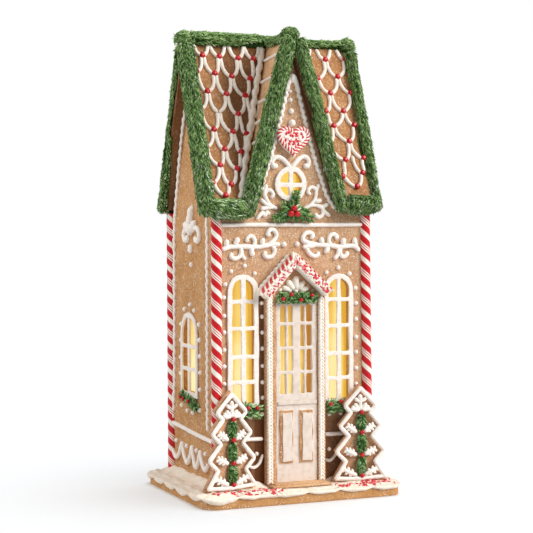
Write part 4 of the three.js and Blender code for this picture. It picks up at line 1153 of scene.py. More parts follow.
LEFT_ROWS = [
    [(-100.6, 15.6), (-81.3, 16.6), (-61.4, 17.2), (-38.9, 18.5), (-19.9, 18.3)],
    [(-91.4, 37.6), (-70.1, 39), (-50.2, 42), (-28.4, 44)],
    [(-82.3, 62), (-60, 64.5), (-37.7, 65.6)],
    [(-94, 84), (-72.7, 86.4), (-50, 89), (-31, 92)],
    [(-81.8, 109), (-59.7, 111), (-43.7, 113.6)],
    [(-94, 130), (-72.8, 132.6), (-53.5, 135.4)],
    [(-81.2, 152), (-61.6, 156)],
    [(-93, 173), (-71.9, 175)],
    [(-80.2, 188)],
]
RIGHT_ROWS = [
    [(19.6, 17), (44.6, 16.4), (70.3, 15.6), (95.7, 13.9)],
    [(31, 42.6), (56.2, 40.3), (82, 37.4)],
    [(44.6, 62), (68.6, 59.3), (94.6, 58)],
    [(38, 84), (58.5, 82.7), (80.8, 81.8)],
    [(42, 103), (65.2, 100.9), (91.3, 99.4)],
    [(56, 122), (81, 120.2)],
    [(71.5, 143.4), (95, 141)],
    [(64.5, 163.9), (90.4, 159.5)],
    [(80.2, 176.4)],
]
BARE_JOINTS = {(-72.7, 86.4), (-100.6, 15.6)}
VALLEY = [(6.2, 4), (16, 34), (29, 76), (40, 112), (50, 145), (63, 193)]
roof_icing = royal_icing("roof icing", tint(246, 236, 225), tint(232, 220, 207), 2.2 * MM)
front_slope = slope_face(-1)
valleys = [squeezed([(side * x, s) for x, s in VALLEY], 7.0, wave=0.6, pitch=15) for side in (-1, 1)]
front_loops = scale_loops(LEFT_ROWS) + scale_loops(RIGHT_ROWS)
iced("icing_roof_front", front_slope, front_loops + valleys, [], roof_icing)
back_slope = slope_face(1)
back_rows = grid_rows(-84, 90, 22.4, 17, 9, 21.3, -96, 96)
iced("icing_roof_back", back_slope, scale_loops(back_rows), [], roof_icing)


def boiled_candy(name):
    """Boiled sugar candy: clear red under a wet gloss, clouded a little darker and lighter."""
    candy = Finish(name, Roughness=0.3, Coat_Weight=0.16, Coat_Roughness=0.12, Specular_IOR_Level=0.35)
    cloud = candy.noise(candy.place(), 2.2 * MM, 2)
    candy.give("Base Color", candy.blend(cloud, tint(162, 2, 14), tint(212, 8, 24)))
    candy.give("Roughness", 0.24 + 0.18 * cloud)
    candy.bump(cloud, 0.1 * MM, 0.5)
    return candy


def dimpled(corner):
    """A candy bead is a flattened ball with a faint dimple on top."""
    rim = math.hypot(corner.x, corner.y)
    corner.z *= 0.82
    if corner.z > 0:
        corner.z -= 0.07 * math.exp(-((rim / 0.13) ** 2))


BEAD_SHAPE = ball_shape(14, 10, dimpled)
red_candy = boiled_candy("red boiled candy")


def beads_on(name, face, beads, size, sunk=0.3):
    """Candy beads pressed into a face."""
    places = [face @ Matrix.Translation((x, s, size * sunk)) @ Matrix.Scale(size, 4) for x, s in beads]
    return fitted(scattered(name, BEAD_SHAPE, places), "red_candy", red_candy)


front_beads = [bead for row in LEFT_ROWS + RIGHT_ROWS for bead in row
               if bead not in BARE_JOINTS and abs(bead[0]) >= 5.6 + bead[1] * 0.31]
beads_on("candy_beads_roof_front", front_slope, front_beads, BEAD)
beads_on("candy_beads_roof_back", back_slope, [bead for row in back_rows for bead in row], BEAD)

# The cross gable's own slopes are bare dough but for short strokes of icing, drawn from the
# valley up to the fir on the gable's edge.
for name, side in (("left", -1), ("right", 1)):
    down = (side * GABLE_RUN / GABLE_LENGTH, 0, -GABLE_FALL / GABLE_LENGTH)
    out = (side * GABLE_FALL / GABLE_LENGTH, 0, GABLE_RUN / GABLE_LENGTH)
    face = surface((0, 0, RIDGE_Z), (0, 1, 0), down, out)
    strokes = []
    for height in (488, 462, 438, 414, 391):
        valley_y = RIDGE_Y - (RIDGE_Z - height) * SLOPE_RUN / SLOPE_FALL
        fall = (RIDGE_Z - height) * GABLE_LENGTH / GABLE_FALL
        strokes.append(squeezed([(valley_y, fall), (valley_y * 0.5 - 34, fall - 4.4), (-69, fall - 6)], 4.0))
    iced(f"icing_gable_roof_{name}", face, strokes, [], roof_icing)

# ---- Candy-stick corners ---------------------------------------------------------------
# Pulled peppermint sticks stand at the four corners. Red and white bands twist round them
# once in every thirty millimetres, with two fine red lines in every second white band.
STICK_RADIUS = 5.8
STICK_FOOT, STICK_TOP = 15.0, 316.0
STICK_TURN = 30.0
STICK_SIDES, STICK_CUTS = 48, 100
WIDE_WHITE, RED_BAND, FINE_GROUP = 6.3 / STICK_TURN, 8.2 / STICK_TURN, 7.4 / STICK_TURN
FINE_LINES = (2.1 / STICK_TURN, 5.2 / STICK_TURN)
STICKS = (
    ("front_left", (-91.2, HOUSE_FRONT), (-89.9, HOUSE_FRONT), 0.0),
    ("front_right", (92.0, HOUSE_FRONT), (88.9, HOUSE_FRONT), 0.0),
    ("back_left", (-90.6, HOUSE_BACK), (-90.6, HOUSE_BACK), 0.4),
    ("back_right", (90.6, HOUSE_BACK), (90.6, HOUSE_BACK), 0.7),
)


def pulled_peppermint(name):
    """The twisted bands, read from each point's own place round and along its stick."""
    sugar = Finish(name, Roughness=0.36, Coat_Weight=0.06, Coat_Roughness=0.2, Specular_IOR_Level=0.35)
    stick = sugar.attribute("stick", "Vector")
    x, y, z = sugar.parts(stick)
    angle = sugar.node("ShaderNodeMath", {"operation": "ARCTAN2"}, {0: y, 1: x})
    ripple = sugar.noise(stick, 9, 2)
    turns = (1 - (z / STICK_TURN + angle / (2 * math.pi)) + (ripple - 0.5) * 0.03 + 40).fraction()
    soft = 0.012
    first = sugar.step(turns, WIDE_WHITE - soft, WIDE_WHITE + soft)
    group = WIDE_WHITE + RED_BAND
    first_end = sugar.step(turns, group - soft, group + soft)
    second = sugar.step(turns, group + FINE_GROUP - soft, group + FINE_GROUP + soft)
    end = sugar.step(turns, 1 - soft, 1)
    red = first - first_end + second - end
    for line in FINE_LINES:
        off = abs(turns - (group + line))
        red = red + (1 - sugar.step(off, 0.015, 0.021))
    streak = sugar.noise(sugar.stretched(stick, (1, 1, 0.3)), 1.3, 2)
    deep = sugar.blend(streak, tint(184, 0, 16), tint(214, 5, 25))
    white = sugar.blend(streak, tint(252, 246, 235), tint(246, 237, 222))
    sugar.give("Base Color", sugar.blend(red, white, deep))
    sugar.give("Roughness", 0.24 + 0.18 * streak)
    sugar.bump(streak + red * 0.5, 0.12 * MM, 0.6)
    return sugar


def twisted_stick(name, foot, top, phase):
    """A straight stick, fluted and twisted, with rounded ends."""
    bpy.ops.mesh.primitive_cylinder_add(vertices=STICK_SIDES, radius=1, depth=1, end_fill_type="NGON")
    stick = bpy.context.object
    stick.name = name
    bpy.ops.object.mode_set(mode="EDIT")
    bpy.ops.mesh.select_mode(type="EDGE")
    bpy.ops.mesh.select_all(action="DESELECT")
    bpy.ops.object.mode_set(mode="OBJECT")
    for edge in stick.data.edges:
        low, high = (stick.data.vertices[corner].co for corner in edge.vertices)
        edge.select = abs(low.z - high.z) > 0.5
    bpy.ops.object.mode_set(mode="EDIT")
    bpy.ops.mesh.subdivide(number_cuts=STICK_CUTS)
    bpy.ops.mesh.select_mode(type="VERT")
    bpy.ops.object.mode_set(mode="OBJECT")
    length = STICK_TOP - STICK_FOOT
    own = []
    for corner in stick.data.vertices:
        share = corner.co.z + 0.5
        z = share * length
        angle = math.atan2(corner.co.y, corner.co.x)
        turns = z / STICK_TURN + phase + angle / (2 * math.pi)
        swell = 1 + 0.028 * math.cos(2 * math.pi * turns * 2) + 0.008 * math.sin(z * 0.11)
        end = min(z, length - z)
        swell *= 0.86 + 0.14 * min(1.0, end / 1.5)
        own.append((corner.co.x, corner.co.y, z + phase * STICK_TURN))
        axis = Vector(foot).lerp(Vector(top), share)
        corner.co.x = (axis.x + corner.co.x * STICK_RADIUS * swell) * MM
        corner.co.y = (axis.y + corner.co.y * STICK_RADIUS * swell) * MM
        corner.co.z = (STICK_FOOT + z) * MM
    held = stick.data.attributes.new("stick", "FLOAT_VECTOR", "POINT")
    held.data.foreach_set("vector", np.array(own, np.float32).ravel())
    alone(stick)
    bpy.ops.object.shade_smooth_by_angle(angle=math.radians(50))
    return stick


stick_sugar = pulled_peppermint("pulled peppermint")
for corner_name, foot, top, phase in STICKS:
    stick = twisted_stick(f"candy_stick_{corner_name}", foot, top, phase)
    fitted(stick, "candy_stripe", stick_sugar, f"post_{corner_name}")

# ---- Fir garlands ----------------------------------------------------------------------
# Ropes of fir lie along every ridge, slope and eave. Each is a dark core thatched with short
# pointed needles that all lie roughly one way, frosted here and there.
NEEDLE_LENGTH, NEEDLE_WIDTH = 7.5, 1.8
CORE_DEPTH = 1.3


def needle_shape():
    """One fir needle along z: a three-sided blade, fattest a third of the way up, pointed at both ends."""
    bpy.ops.mesh.primitive_cone_add(vertices=3, radius1=0.5, radius2=0, depth=0.65, location=(0, 0, 0.675))
    needle = bpy.context.object
    bpy.ops.object.mode_set(mode="EDIT")
    bpy.ops.mesh.select_all(action="DESELECT")
    bpy.ops.mesh.select_mode(type="FACE")
    bpy.ops.object.mode_set(mode="OBJECT")
    for face in needle.data.polygons:
        face.select = face.normal.z < -0.9
    bpy.ops.object.mode_set(mode="EDIT")
    bpy.ops.mesh.extrude_region_move(TRANSFORM_OT_translate={"value": (0, 0, -0.35)})
    bpy.ops.mesh.merge(type="CENTER")
    bpy.ops.mesh.select_mode(type="VERT")
    bpy.ops.object.mode_set(mode="OBJECT")
    bpy.ops.object.transform_apply(location=True, rotation=False, scale=False)
    return taken(needle)


def fir_needles(name, dark, mid, light):
    """Moulded fir: each needle its own green, paler to its tip, a few of them frosted."""
    fir = Finish(name, Roughness=0.55, Specular_IOR_Level=0.3)
    shade = fir.attribute("shade")
    tip = fir.attribute("tip")
    colour = fir.blend(fir.step(shade, 0.05, 0.6), dark, mid)
    colour = fir.blend(fir.step(shade + tip * 0.45, 0.75, 1.35), colour, light)
    height = fir.parts(fir.place())[2]
    at_eave = (1 - fir.step(height, 0.335, 0.39)) * fir.step(height, 0.295, 0.31)
    colour = fir.blend(fir.step(shade + at_eave * 0.06, 0.985, 0.99) * 0.8, colour, tint(236, 242, 228))
    fleck = fir.noise(fir.place(), 1.1 * MM, 2)
    fir.give("Base Color", fir.blend(fir.step(fleck, 0.62, 0.8) * 0.3, colour, dark))
    fir.give("Roughness", 0.45 + fleck * 0.25)
    fir.bump(fleck, 0.15 * MM)
    return fir


def fir_core(name):
    """The rope under the needles, coloured near black-green as painted shade in the gaps between them."""
    core = Finish(name, Roughness=0.9, Specular_IOR_Level=0.1)
    moss = core.noise(core.place(), 2.2 * MM, 3)
    core.give("Base Color", core.blend(core.step(moss, 0.35, 0.7), tint(28, 50, 19), tint(58, 92, 41)))
    core.bump(moss, 0.8 * MM)
    return core


needle = needle_shape()
NEEDLE_TIPS = np.array([corner.co.z for corner in needle.vertices])
green_fir = fir_needles("fir needles", tint(46, 78, 28), tint(113, 150, 77), tint(186, 212, 148))
dark_core = fir_core("fir core")


def thatch(mesh, flow, seed, length=NEEDLE_LENGTH, width=NEEDLE_WIDTH, thick=0.54, spread=0.36, lift=0.24,
           sunk=1.0, away=(0, 1, 0)):
    """Places and shades for needles lying over a mesh along its flow, but for faces that look
    away. thick is how many grow on a square millimetre, sunk how deep their roots are."""
    hand = np.random.default_rng(seed)
    mesh.calc_loop_triangles()
    corners = np.array([v.co for v in mesh.vertices]) / MM
    faces = corners[np.array([t.vertices for t in mesh.loop_triangles])]
    cross = np.cross(faces[:, 1] - faces[:, 0], faces[:, 2] - faces[:, 0])
    areas = np.linalg.norm(cross, axis=1) / 2
    normals = cross / np.maximum(1e-9, 2 * areas[:, None])
    areas = np.where(normals @ np.array(away, float) > 0.45, 0, areas)
    count = int(areas.sum() * thick)
    pick = hand.choice(len(faces), count, p=areas / areas.sum())
    a, b = np.sqrt(hand.uniform(0, 1, count)), hand.uniform(0, 1, count)
    shares = np.stack([1 - a, a * (1 - b), a * b], axis=1)
    points = np.einsum("nk,nkj->nj", shares, faces[pick])
    outward = normals[pick]
    aim = flow(points) if callable(flow) else np.broadcast_to(np.array(flow, float), points.shape)
    aim = aim - outward * np.sum(aim * outward, axis=1, keepdims=True) + hand.normal(0, 0.04, points.shape)
    aim /= np.linalg.norm(aim, axis=1, keepdims=True)
    across = np.cross(outward, aim)
    swing = hand.normal(0, spread, count)[:, None]
    along = aim * np.cos(swing) + across * np.sin(swing)
    along = along + outward * hand.uniform(0.3, 1.7, count)[:, None] * lift
    along /= np.linalg.norm(along, axis=1, keepdims=True)
    side = np.cross(outward, along)
    side /= np.linalg.norm(side, axis=1, keepdims=True)
    up = np.cross(along, side)
    reach = length * hand.uniform(0.65, 1.25, count)[:, None]
    body = width * hand.uniform(0.75, 1.25, count)[:, None]
    tuft = 0.3 * np.sin(points @ np.array([0.31, 0.27, 0.35]) + seed)
    tuft = tuft + 0.25 * np.sin(points @ np.array([0.7, -0.5, 0.6]))
    root = points - outward * (sunk - tuft[:, None]) - along * reach * 0.35
    places = np.zeros((count, 4, 4))
    places[:, :3, 0] = side * body * MM
    places[:, :3, 1] = up * body * MM
    places[:, :3, 2] = along * reach * MM
    places[:, :3, 3] = root * MM
    places[:, 3, 3] = 1
    return places, hand.uniform(0, 1, count)


def fattened(piece, by):
    """Push a piece's skin out by so many millimetres, or in if negative."""
    alone(piece)
    bpy.ops.object.mode_set(mode="EDIT")
    bpy.ops.mesh.select_all(action="SELECT")
    bpy.ops.mesh.normals_make_consistent(inside=False)
    bpy.ops.transform.shrink_fatten(value=by * MM)
    bpy.ops.object.mode_set(mode="OBJECT")


def needled(name, places, shade, finish):
    """Needles in their places as one piece, each with its own shade."""
    tips = np.tile(NEEDLE_TIPS, len(places))
    return fitted(scattered(name, needle, places, shade=shade, tip=tips), "fir_green", finish)


def fir_piece(node, name, flow, seed, fuller=1.0, settle=None, **habits):
    """A garland: a dark core from the node's shape, settled on the roof, and needles thatched over it."""
    core = whole_copy(node, f"{name}_core", flat=False)
    fattened(core, fuller)
    if settle:
        for corner in core.data.vertices:
            corner.co = Vector(settle(*(corner.co / MM))) * MM
    places, shade = thatch(core.data, flow, seed, **habits)
    fattened(core, -CORE_DEPTH)
    bpy.ops.object.shade_smooth_by_angle(angle=math.radians(60))
    fitted(core, "fir_green", dark_core, node)
    needled(f"{name}_needles", places, shade, green_fir)


def down_slope(points):
    """Needles on a side rake point away from the ridge's end, and a little down."""
    aim = points - np.array([0, 9, 530])
    aim[:, 0] = 0
    aim /= np.maximum(1, np.linalg.norm(aim, axis=1, keepdims=True))
    return aim + np.array([0, 0, -0.3])


def eave_lie(middle):
    """The eave's rope is pushed hard up against the ropes at both its ends."""
    return lambda x, y, z: (middle + (x - middle) * 1.55, y, z - 0.8)


def ridge_lie(x, y, z):
    """The ridge's rope lies low over both slopes, thick on the left and thin on the right."""
    grow = 1.0 if abs(x) > 94 else 1.0 + 0.2 * max(-1.0, min(1.0, -x / 12))
    sink = 2.2 if abs(x) < 94 else 0.6
    return x, RIDGE_Y + (y - RIDGE_Y) * grow, 513.4 + (z - 513.4) * grow - sink


def gable_ridge_lie(x, y, z):
    """Low along the cross gable's ridge, then a round tuft over its point."""
    return (x, y, z - 4.2) if y > -58 else (x * 1.1 - 3.0, y + 5.0, 510 + (z - 510.5) * 1.1 - 0.8)


def rake_lie(lean):
    """A rope up the gable's edge, leaning out a little and lifted to the tuft at its top."""
    return lambda x, y, z: (x - lean * max(0.0, (z - 320) / 185), y, z + 2.0 * max(0.0, (z - 480) / 25))


THIN_FIR = {"fuller": -2.6, "length": 5.6, "width": 1.5}
RIDGE_FIR = {"length": 6.2, "width": 1.5, "lift": 0.17}
LOW_RIDGE = {"fuller": 2.7, "settle": ridge_lie, **RIDGE_FIR}
GABLE_RIDGE = {"fuller": 1.6, "settle": gable_ridge_lie, **RIDGE_FIR}
GARLANDS = (
    ("garland_side_left_front", down_slope, (0, 0.6, -0.6), {"fuller": 2.4}),
    ("garland_side_left_back", down_slope, (0, -0.6, -0.6), THIN_FIR),
    ("garland_side_right_front", down_slope, (0, 0.6, -0.6), {"fuller": -0.8}),
    ("garland_side_right_back", down_slope, (0, -0.6, -0.6), {"fuller": 1.8}),
    ("garland_gable_left", (-0.31, -0.25, -0.95), (0.4, 0.9, 0), {"fuller": 1.6, "settle": rake_lie(2.4)}),
    ("garland_gable_right", (0.31, -0.25, -0.95), (-0.4, 0.9, 0), {"fuller": 0.2, "settle": rake_lie(0.0)}),
    ("garland_eave_left", (0.75, -0.3, -0.7), (0, 0.9, 0), {"fuller": 2.4, "settle": eave_lie(-80.3)}),
    ("garland_eave_right", (-0.5, -0.3, -0.8), (0, 0.9, 0), {"fuller": 2.2, "settle": eave_lie(80.3)}),
    ("garland_eave_back", (0.4, 0.3, -0.85), (0, -0.9, 0), {"fuller": 2.2}),
    ("garland_ridge", (0.85, -0.2, -0.25), (0, 0, -1), LOW_RIDGE),
    ("garland_gable_ridge", (0.1, -0.6, -0.5), (0, 0, -1), GABLE_RIDGE),
)
for seed, (node, flow, away, habits) in enumerate(GARLANDS, 71):
    fir_piece(node, node.replace("garland", "fir"), flow, seed, away=away, **habits)

# ---- Door garland and window sprigs ----------------------------------------------------
# Short, thick, leafy needles crossed on the slant, with red berries tucked in. One swag hangs
# over the door, and one lies under each window.
UNFROSTED = 0.98
leafy_fir = fir_needles("leafy fir", tint(54, 94, 42), tint(124, 168, 98), tint(194, 222, 162))


def crossed(points):
    """Leaves that lean left and right by turns."""
    lean = np.where(np.sin(points[:, 0] * 2.1 + points[:, 1] * 1.7 + points[:, 2] * 2.9) > 0, 1.0, -1.0)
    return np.stack([lean * 0.8, lean * 0.25, -0.75 + 0 * lean], axis=1)


swag_core = whole_copy("door_garland", "door_swag_core", flat=False)
swag_places, swag_shade = thatch(swag_core.data, crossed, 91, length=6.2, width=2.0, thick=0.24,
                                 spread=0.26, lift=0.26, sunk=1.1)
fattened(swag_core, -1.2)
fitted(swag_core, "fir_green", dark_core, "door_garland")
needled("door_swag_leaves", swag_places, swag_shade * UNFROSTED, leafy_fir)


def spray(face, ribs, seed, length, deep, width=2.2, gap=2.1, layers=3):
    """Leaves set in pairs along ribs on a face, in layers: the lowest lie widest and flattest."""
    hand = np.random.default_rng(seed)
    places = []
    for rib in ribs:
        path = eased(rib, 0.8)
        run = np.concatenate([[0], np.cumsum(np.linalg.norm(np.diff(path, axis=0), axis=1))])
        for layer in range(layers):
            for along in np.arange(0.4, run[-1], gap):
                back, at, ahead = (np.array([np.interp(along + off, run, path[:, axis]) for axis in (0, 1)])
                                   for off in (-1, 0, 1))
                heading = Vector((*(ahead - back), 0)).normalized()
                fade = 1 - 0.3 * along / run[-1]
                for side in (-1, 1):
                    angle = side * math.radians(hand.uniform(62, 82) - layer * 21)
                    aim = Matrix.Rotation(angle, 3, "Z") @ heading
                    aim = (aim + Vector((0, 0, hand.uniform(0.05, 0.3) + 0.12 * layer))).normalized()
                    across = Vector((0, 0, 1)).cross(aim).normalized()
                    turn = Matrix((across, aim.cross(across), aim)).transposed().to_4x4()
                    size = Matrix.Diagonal((width, width * 0.8, length * fade * hand.uniform(0.85, 1.15), 1))
                    spot = Vector((at[0], at[1], deep * (0.35 + 0.65 * layer / max(1, layers - 1))))
                    places.append(face @ Matrix.Translation(spot) @ turn @ size)
    return places


def leaves(name, places, seed, finish=leafy_fir):
    """A sprig's leaves as one piece, their shades kept below those that frost."""
    shades = np.random.default_rng(seed).uniform(0, 0.97, len(places))
    return needled(name, places, shades, finish)


SIDE_SPRIG = (((44, 110), (32, 107), (16, 106), (4, 104)), ((14, 105), (4, 102), (-4, 100), (-10, 98)))
FRONT_SPRIGS = {
    "left": (((-66, 101), (-58, 105), (-50, 102), (-41, 103)), ((-62, 95), (-52, 96.5), (-43, 93.5))),
    "right": (((37, 100), (46, 104), (54, 103), (63, 105)), ((39, 95), (50, 97), (61, 95))),
    "back": (((-21, 103), (-8, 105), (6, 102), (21, 104)), ((-16, 99), (0, 100), (16, 98))),
}
SPRIG_FACES = {"left": FRONT, "right": FRONT, "back": BACK}
for seed, (where, ribs) in enumerate(FRONT_SPRIGS.items(), 92):
    node = "sprig_back" if where == "back" else f"sprig_front_{where}"
    name = f"sprig_{where}_window"
    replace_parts(leaves(name, spray(SPRIG_FACES[where], ribs, seed, length=7.2, deep=6.5), seed), node)
for seed, (where, face) in enumerate((("left", LEFT), ("right", RIGHT)), 95):
    places = spray(face, SIDE_SPRIG, seed, length=8.8, width=2.5, gap=2.2, deep=5.6)
    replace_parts(leaves(f"sprig_{where}_wall", places, seed), f"sprig_{where}")

BERRY = 4.6
SIDE_BERRIES = ((32, 107), (22, 105.6), (6, 104.6))
BERRIES = (
    ("door", front_at(-76.0), ((-17.6, 221.4), (-7.6, 226.2), (3.7, 219.9), (17.3, 225))),
    ("front", front_at(-71.5), ((-57.6, 103.4), (-46.6, 103.2), (41.8, 103), (54.2, 105.6), (60, 100))),
    ("back", back_at(92), ((-12, 103), (1, 101), (13, 104))),
    ("left", side_at(-99.2), SIDE_BERRIES),
    ("right", side_at(99.2), SIDE_BERRIES),
)
for where, face, spots in BERRIES:
    beads_on(f"berries_{where}", face, spots, BERRY, 0.1)

# ---- Candy heart -----------------------------------------------------------------------
# A heart of white candy, its rim bound with slanting red and white strokes like a twisted
# rope and its middle crowded with small white and red pieces.
HEART_MIDDLE = (-1.3, 395.5)
HEART_FRONT = -69.2
HEART_TRIM = 0.92
RIM_STROKES = 52
FILLING = ((0.62, 20), (0.37, 12), (0.12, 4))
heart_sugar = royal_icing("heart sugar", tint(250, 243, 236), tint(240, 226, 218), 1.6 * MM)
heart = softened("heart_candy", "heart_base", 1.2 * MM)
heart_centre = Vector((HEART_MIDDLE[0], 0, HEART_MIDDLE[1])) * MM
trim = Matrix.Diagonal((HEART_TRIM, 1, HEART_TRIM, 1))
heart.data.transform(Matrix.Translation(heart_centre) @ trim @ Matrix.Translation(-heart_centre))
fitted(heart, "candy_stripe", heart_sugar, "heart_candy")
HEART = front_at(HEART_FRONT)


def heart_edge(share):
    """A point on the heart's rim and the way it runs, for a share of the way round from the dip."""
    def at(turn):
        x = 17.0 * math.sin(turn) ** 3 * (1.02 if math.sin(turn) > 0 else 1.04)
        z = sum(size * math.cos(times * turn) for times, size in enumerate((13.6, -5.4, -2.2, -0.9), 1))
        return Vector((HEART_MIDDLE[0] + x, HEART_MIDDLE[1] + 0.5 + z, 0))
    turn = share * 2 * math.pi
    return at(turn), (at(turn + 0.02) - at(turn - 0.02)).normalized()


def stroke_place(middle, heading, length, width, height, rise):
    """A candy stroke lying on the heart's face."""
    along = heading.normalized()
    side = Vector((0, 0, 1)).cross(along)
    turn = Matrix((side, Vector((0, 0, 1)), along)).transposed().to_4x4()
    size = Matrix.Diagonal((width, height, length, 1))
    return HEART @ Matrix.Translation(middle + Vector((0, 0, rise))) @ turn @ size


def heart_strokes():
    """Places and colours of the strokes: slanting ones round the rim, then the filling in rings."""
    hand = np.random.default_rng(101)
    places = []
    kinds = []
    rim = [heart_edge(share) for share in np.linspace(0, 1, 721)]
    runs = np.cumsum([0] + [(b[0] - a[0]).length for a, b in zip(rim, rim[1:])])
    for index in range(RIM_STROKES):
        spot, heading = rim[int(np.searchsorted(runs, runs[-1] * index / RIM_STROKES))]
        inward = Vector((heading.y, -heading.x, 0))
        inward = inward if inward.dot(Vector((*HEART_MIDDLE, 0)) - spot) > 0 else -inward
        lean = (heading * 0.9 + inward).normalized()
        places.append(stroke_place(spot + inward * 0.6, lean, 8.2, 2.2, 3.4, 0.2))
        kinds.append(index % 2)
    centre = Vector((*HEART_MIDDLE, 0))
    for ring, number in FILLING:
        for index in range(number):
            spot, heading = rim[int(720 * (index + hand.uniform(-0.2, 0.2)) / number) % 720]
            middle = centre + (spot - centre) * ring
            tilt = Matrix.Rotation(hand.uniform(-0.9, 0.9), 3, "Z") @ heading
            length, width = hand.uniform(4.4, 6.0), hand.uniform(2.3, 3.1)
            places.append(stroke_place(middle, tilt, length, width, 2.8, 0.6))
            kinds.append(1 if index % 3 else 0)
    return places, kinds


heart_places, heart_kinds = heart_strokes()
fitted(scattered("heart_strokes", capsule, heart_places, kind=heart_kinds), "candy_stripe", candy_sugar)

# ---- Holly sprig -----------------------------------------------------------------------
# Fronds spread from under the oval window, each a rib set with thick pointed leaves: three
# long ones and four short. Three glossy berries sit where they meet.
HOLLY = front_at(-65.6)
FRONDS = (((-1.5, 317), (0.4, 328), (3.2, 338)), ((-4, 318), (-14, 313.5), (-24, 309.5)),
          ((0, 317), (10, 312), (20, 309)), ((-3, 318), (-9, 323), (-14, 324)),
          ((0, 318), (8, 318), (16, 315)), ((-5, 315), (-11, 311), (-16, 309)),
          ((0, 315), (3, 311), (5, 308)))
holly_fir = fir_needles("holly green", tint(56, 98, 46), tint(102, 152, 80), tint(168, 204, 138))
holly_places = spray(HOLLY, FRONDS, 111, length=8.4, width=3.6, gap=3.0, layers=2, deep=3.0)
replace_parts(leaves("holly_leaves", holly_places, 112, holly_fir), "holly_sprig")
for number in (1, 2, 3):
    low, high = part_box(f"holly_berry_{number}")
    facing = surface((low + high) / 2 / MM, (1, 0, 0), (0, 0, 1), (0, -1, 0))
    berry_place = facing @ Matrix.Scale((high.x - low.x) / MM * 1.1, 4)
    berry = scattered(f"holly_candy_berry_{number}", BEAD_SHAPE, [berry_place])
    applied(berry, "SUBSURF", levels=1, render_levels=1)
    fitted(berry, "red_candy", red_candy, f"holly_berry_{number}")

# ---- Cookie trees ----------------------------------------------------------------------
# Two flat cookies cut as stepped fir trees stand before the corners. Each is outlined in
# icing and has a strip of greenery, red beads, pairs of iced leaves and a small crown.
TREE_THICK = 6.0
STEM = 1.3
TREE_LINE, TREE_BEAD = 4.8, 5.2
TREES = {"left": ((-79.8, -74.2), 8.4), "right": ((74.4, -76.8), -8.0)}
TREE_RIM = ((0, 120), (16.6, 102.4), (17.2, 99.6), (11, 93), (22.8, 79), (22.8, 76.8), (13.4, 66.8),
            (27, 51), (27, 48.4), (17, 38.4), (29.6, 18.4))
BEADS_UP = (22.4, 45.4, 70.8, 93)
LEAF_PAIRS = ((22, 20, 30), (45, 17.5, 51.5), (70.5, 15.5, 78.5))
tree_dough = gingerbread("tree dough", tint(208, 160, 122), tint(192, 144, 106), tint(148, 102, 68))
tree_icing = royal_icing("tree icing", tint(252, 244, 235), tint(242, 231, 220), 2.2 * MM)


def tree_face(spot, turn):
    """The front face of a cookie tree: right along it, up, and out towards the front."""
    angle = math.radians(turn)
    right = (math.cos(angle), math.sin(angle), 0)
    out = (math.sin(angle), -math.cos(angle), 0)
    front = (spot[0] + out[0] * TREE_THICK / 2, spot[1] + out[1] * TREE_THICK / 2, 0)
    return surface(front, right, (0, 0, 1), out)


def leaf_lines(root, tip):
    """One iced holly leaf: a rib with lobes squeezed out to each side."""
    root, tip = np.array(root, float), np.array(tip, float)
    rib = tip - root
    normal = np.array([-rib[1], rib[0]]) / np.linalg.norm(rib)
    lines = [squeezed([root, (root + tip) / 2 + normal * 0.4, tip], 5.2, -0.2)]
    for share, reach in ((0.3, 4.3), (0.6, 4.6), (0.88, 3.3)):
        spot = root + rib * share
        for side in (-1, 1):
            lines.append(squeezed([spot, spot + normal * side * reach + rib * 0.16], 3.6, 0.0))
    return lines


def tree_icing_lines():
    """A tree's piping: its outline, its foot, three pairs of leaves and the crown."""
    rim = list(TREE_RIM)
    outline = [(-x, z) for x, z in rim[::-1]] + rim[1:]
    path = []
    for start, end in zip(outline, outline[1:]):
        steps = max(2, int(math.dist(start, end) / 1.2))
        path += [(start[0] + (end[0] - start[0]) * t, start[1] + (end[1] - start[1]) * t)
                 for t in np.linspace(0, 1, steps, endpoint=False)]
    path.append(outline[-1])
    lines = [squeezed(path, TREE_LINE, straight=True), squeezed([(-30.4, 20), (0, 19), (30.4, 20.6)], 4.6)]
    for root_z, tip_x, tip_z in LEAF_PAIRS:
        for side in (-1, 1):
            lines += leaf_lines((side * 4.5, root_z + 0.6), (side * tip_x, tip_z))
    lines.append(squeezed([(0, 95.4), (0, 104), (-0.4, 113)], 4.4, 0.15))
    for side in (-1, 1):
        lines += [
            squeezed([(side * 1, 96.6), (side * 6, 96.4), (side * 11.4, 97.4)], 5.2),
            squeezed([(side * 1.5, 97), (side * 4.6, 99.8), (side * 6.8, 103)], 4.6, 0.1),
            squeezed([(0, 105), (side * 3.6, 106.6), (side * 6.6, 109)], 3.9, 0.1),
            squeezed([(side * 7, 97), (side * 9.8, 100.4)], 4.2, 0.1),
        ]
    return lines


def greenery(name, face, seed):
    """The leafy bundles between a tree's beads, with leaves that droop to both sides."""
    middles = [(low + high) / 2 for low, high in zip(BEADS_UP, BEADS_UP[1:])]
    bundle = Matrix.Diagonal((5.6, 10.8, 3.0, 1))
    bundles = [face @ Matrix.Translation((STEM, z, 0.2)) @ bundle for z in middles]
    core = scattered(f"{name}_core", heap_shape, bundles)
    stem = face @ Vector((STEM, 0, 0)) / MM

    def drooping(points):
        flat = np.zeros(len(points))
        return np.stack([np.sign(points[:, 0] - stem.x) * 0.75, flat, flat - 0.7], axis=1)

    places, shade = thatch(core.data, drooping, seed, length=5.4, width=2.0, thick=0.42,
                           spread=0.35, lift=0.32, sunk=0.5)
    fitted(core, "fir_green", dark_core)
    needled(name, places, shade, leafy_fir)


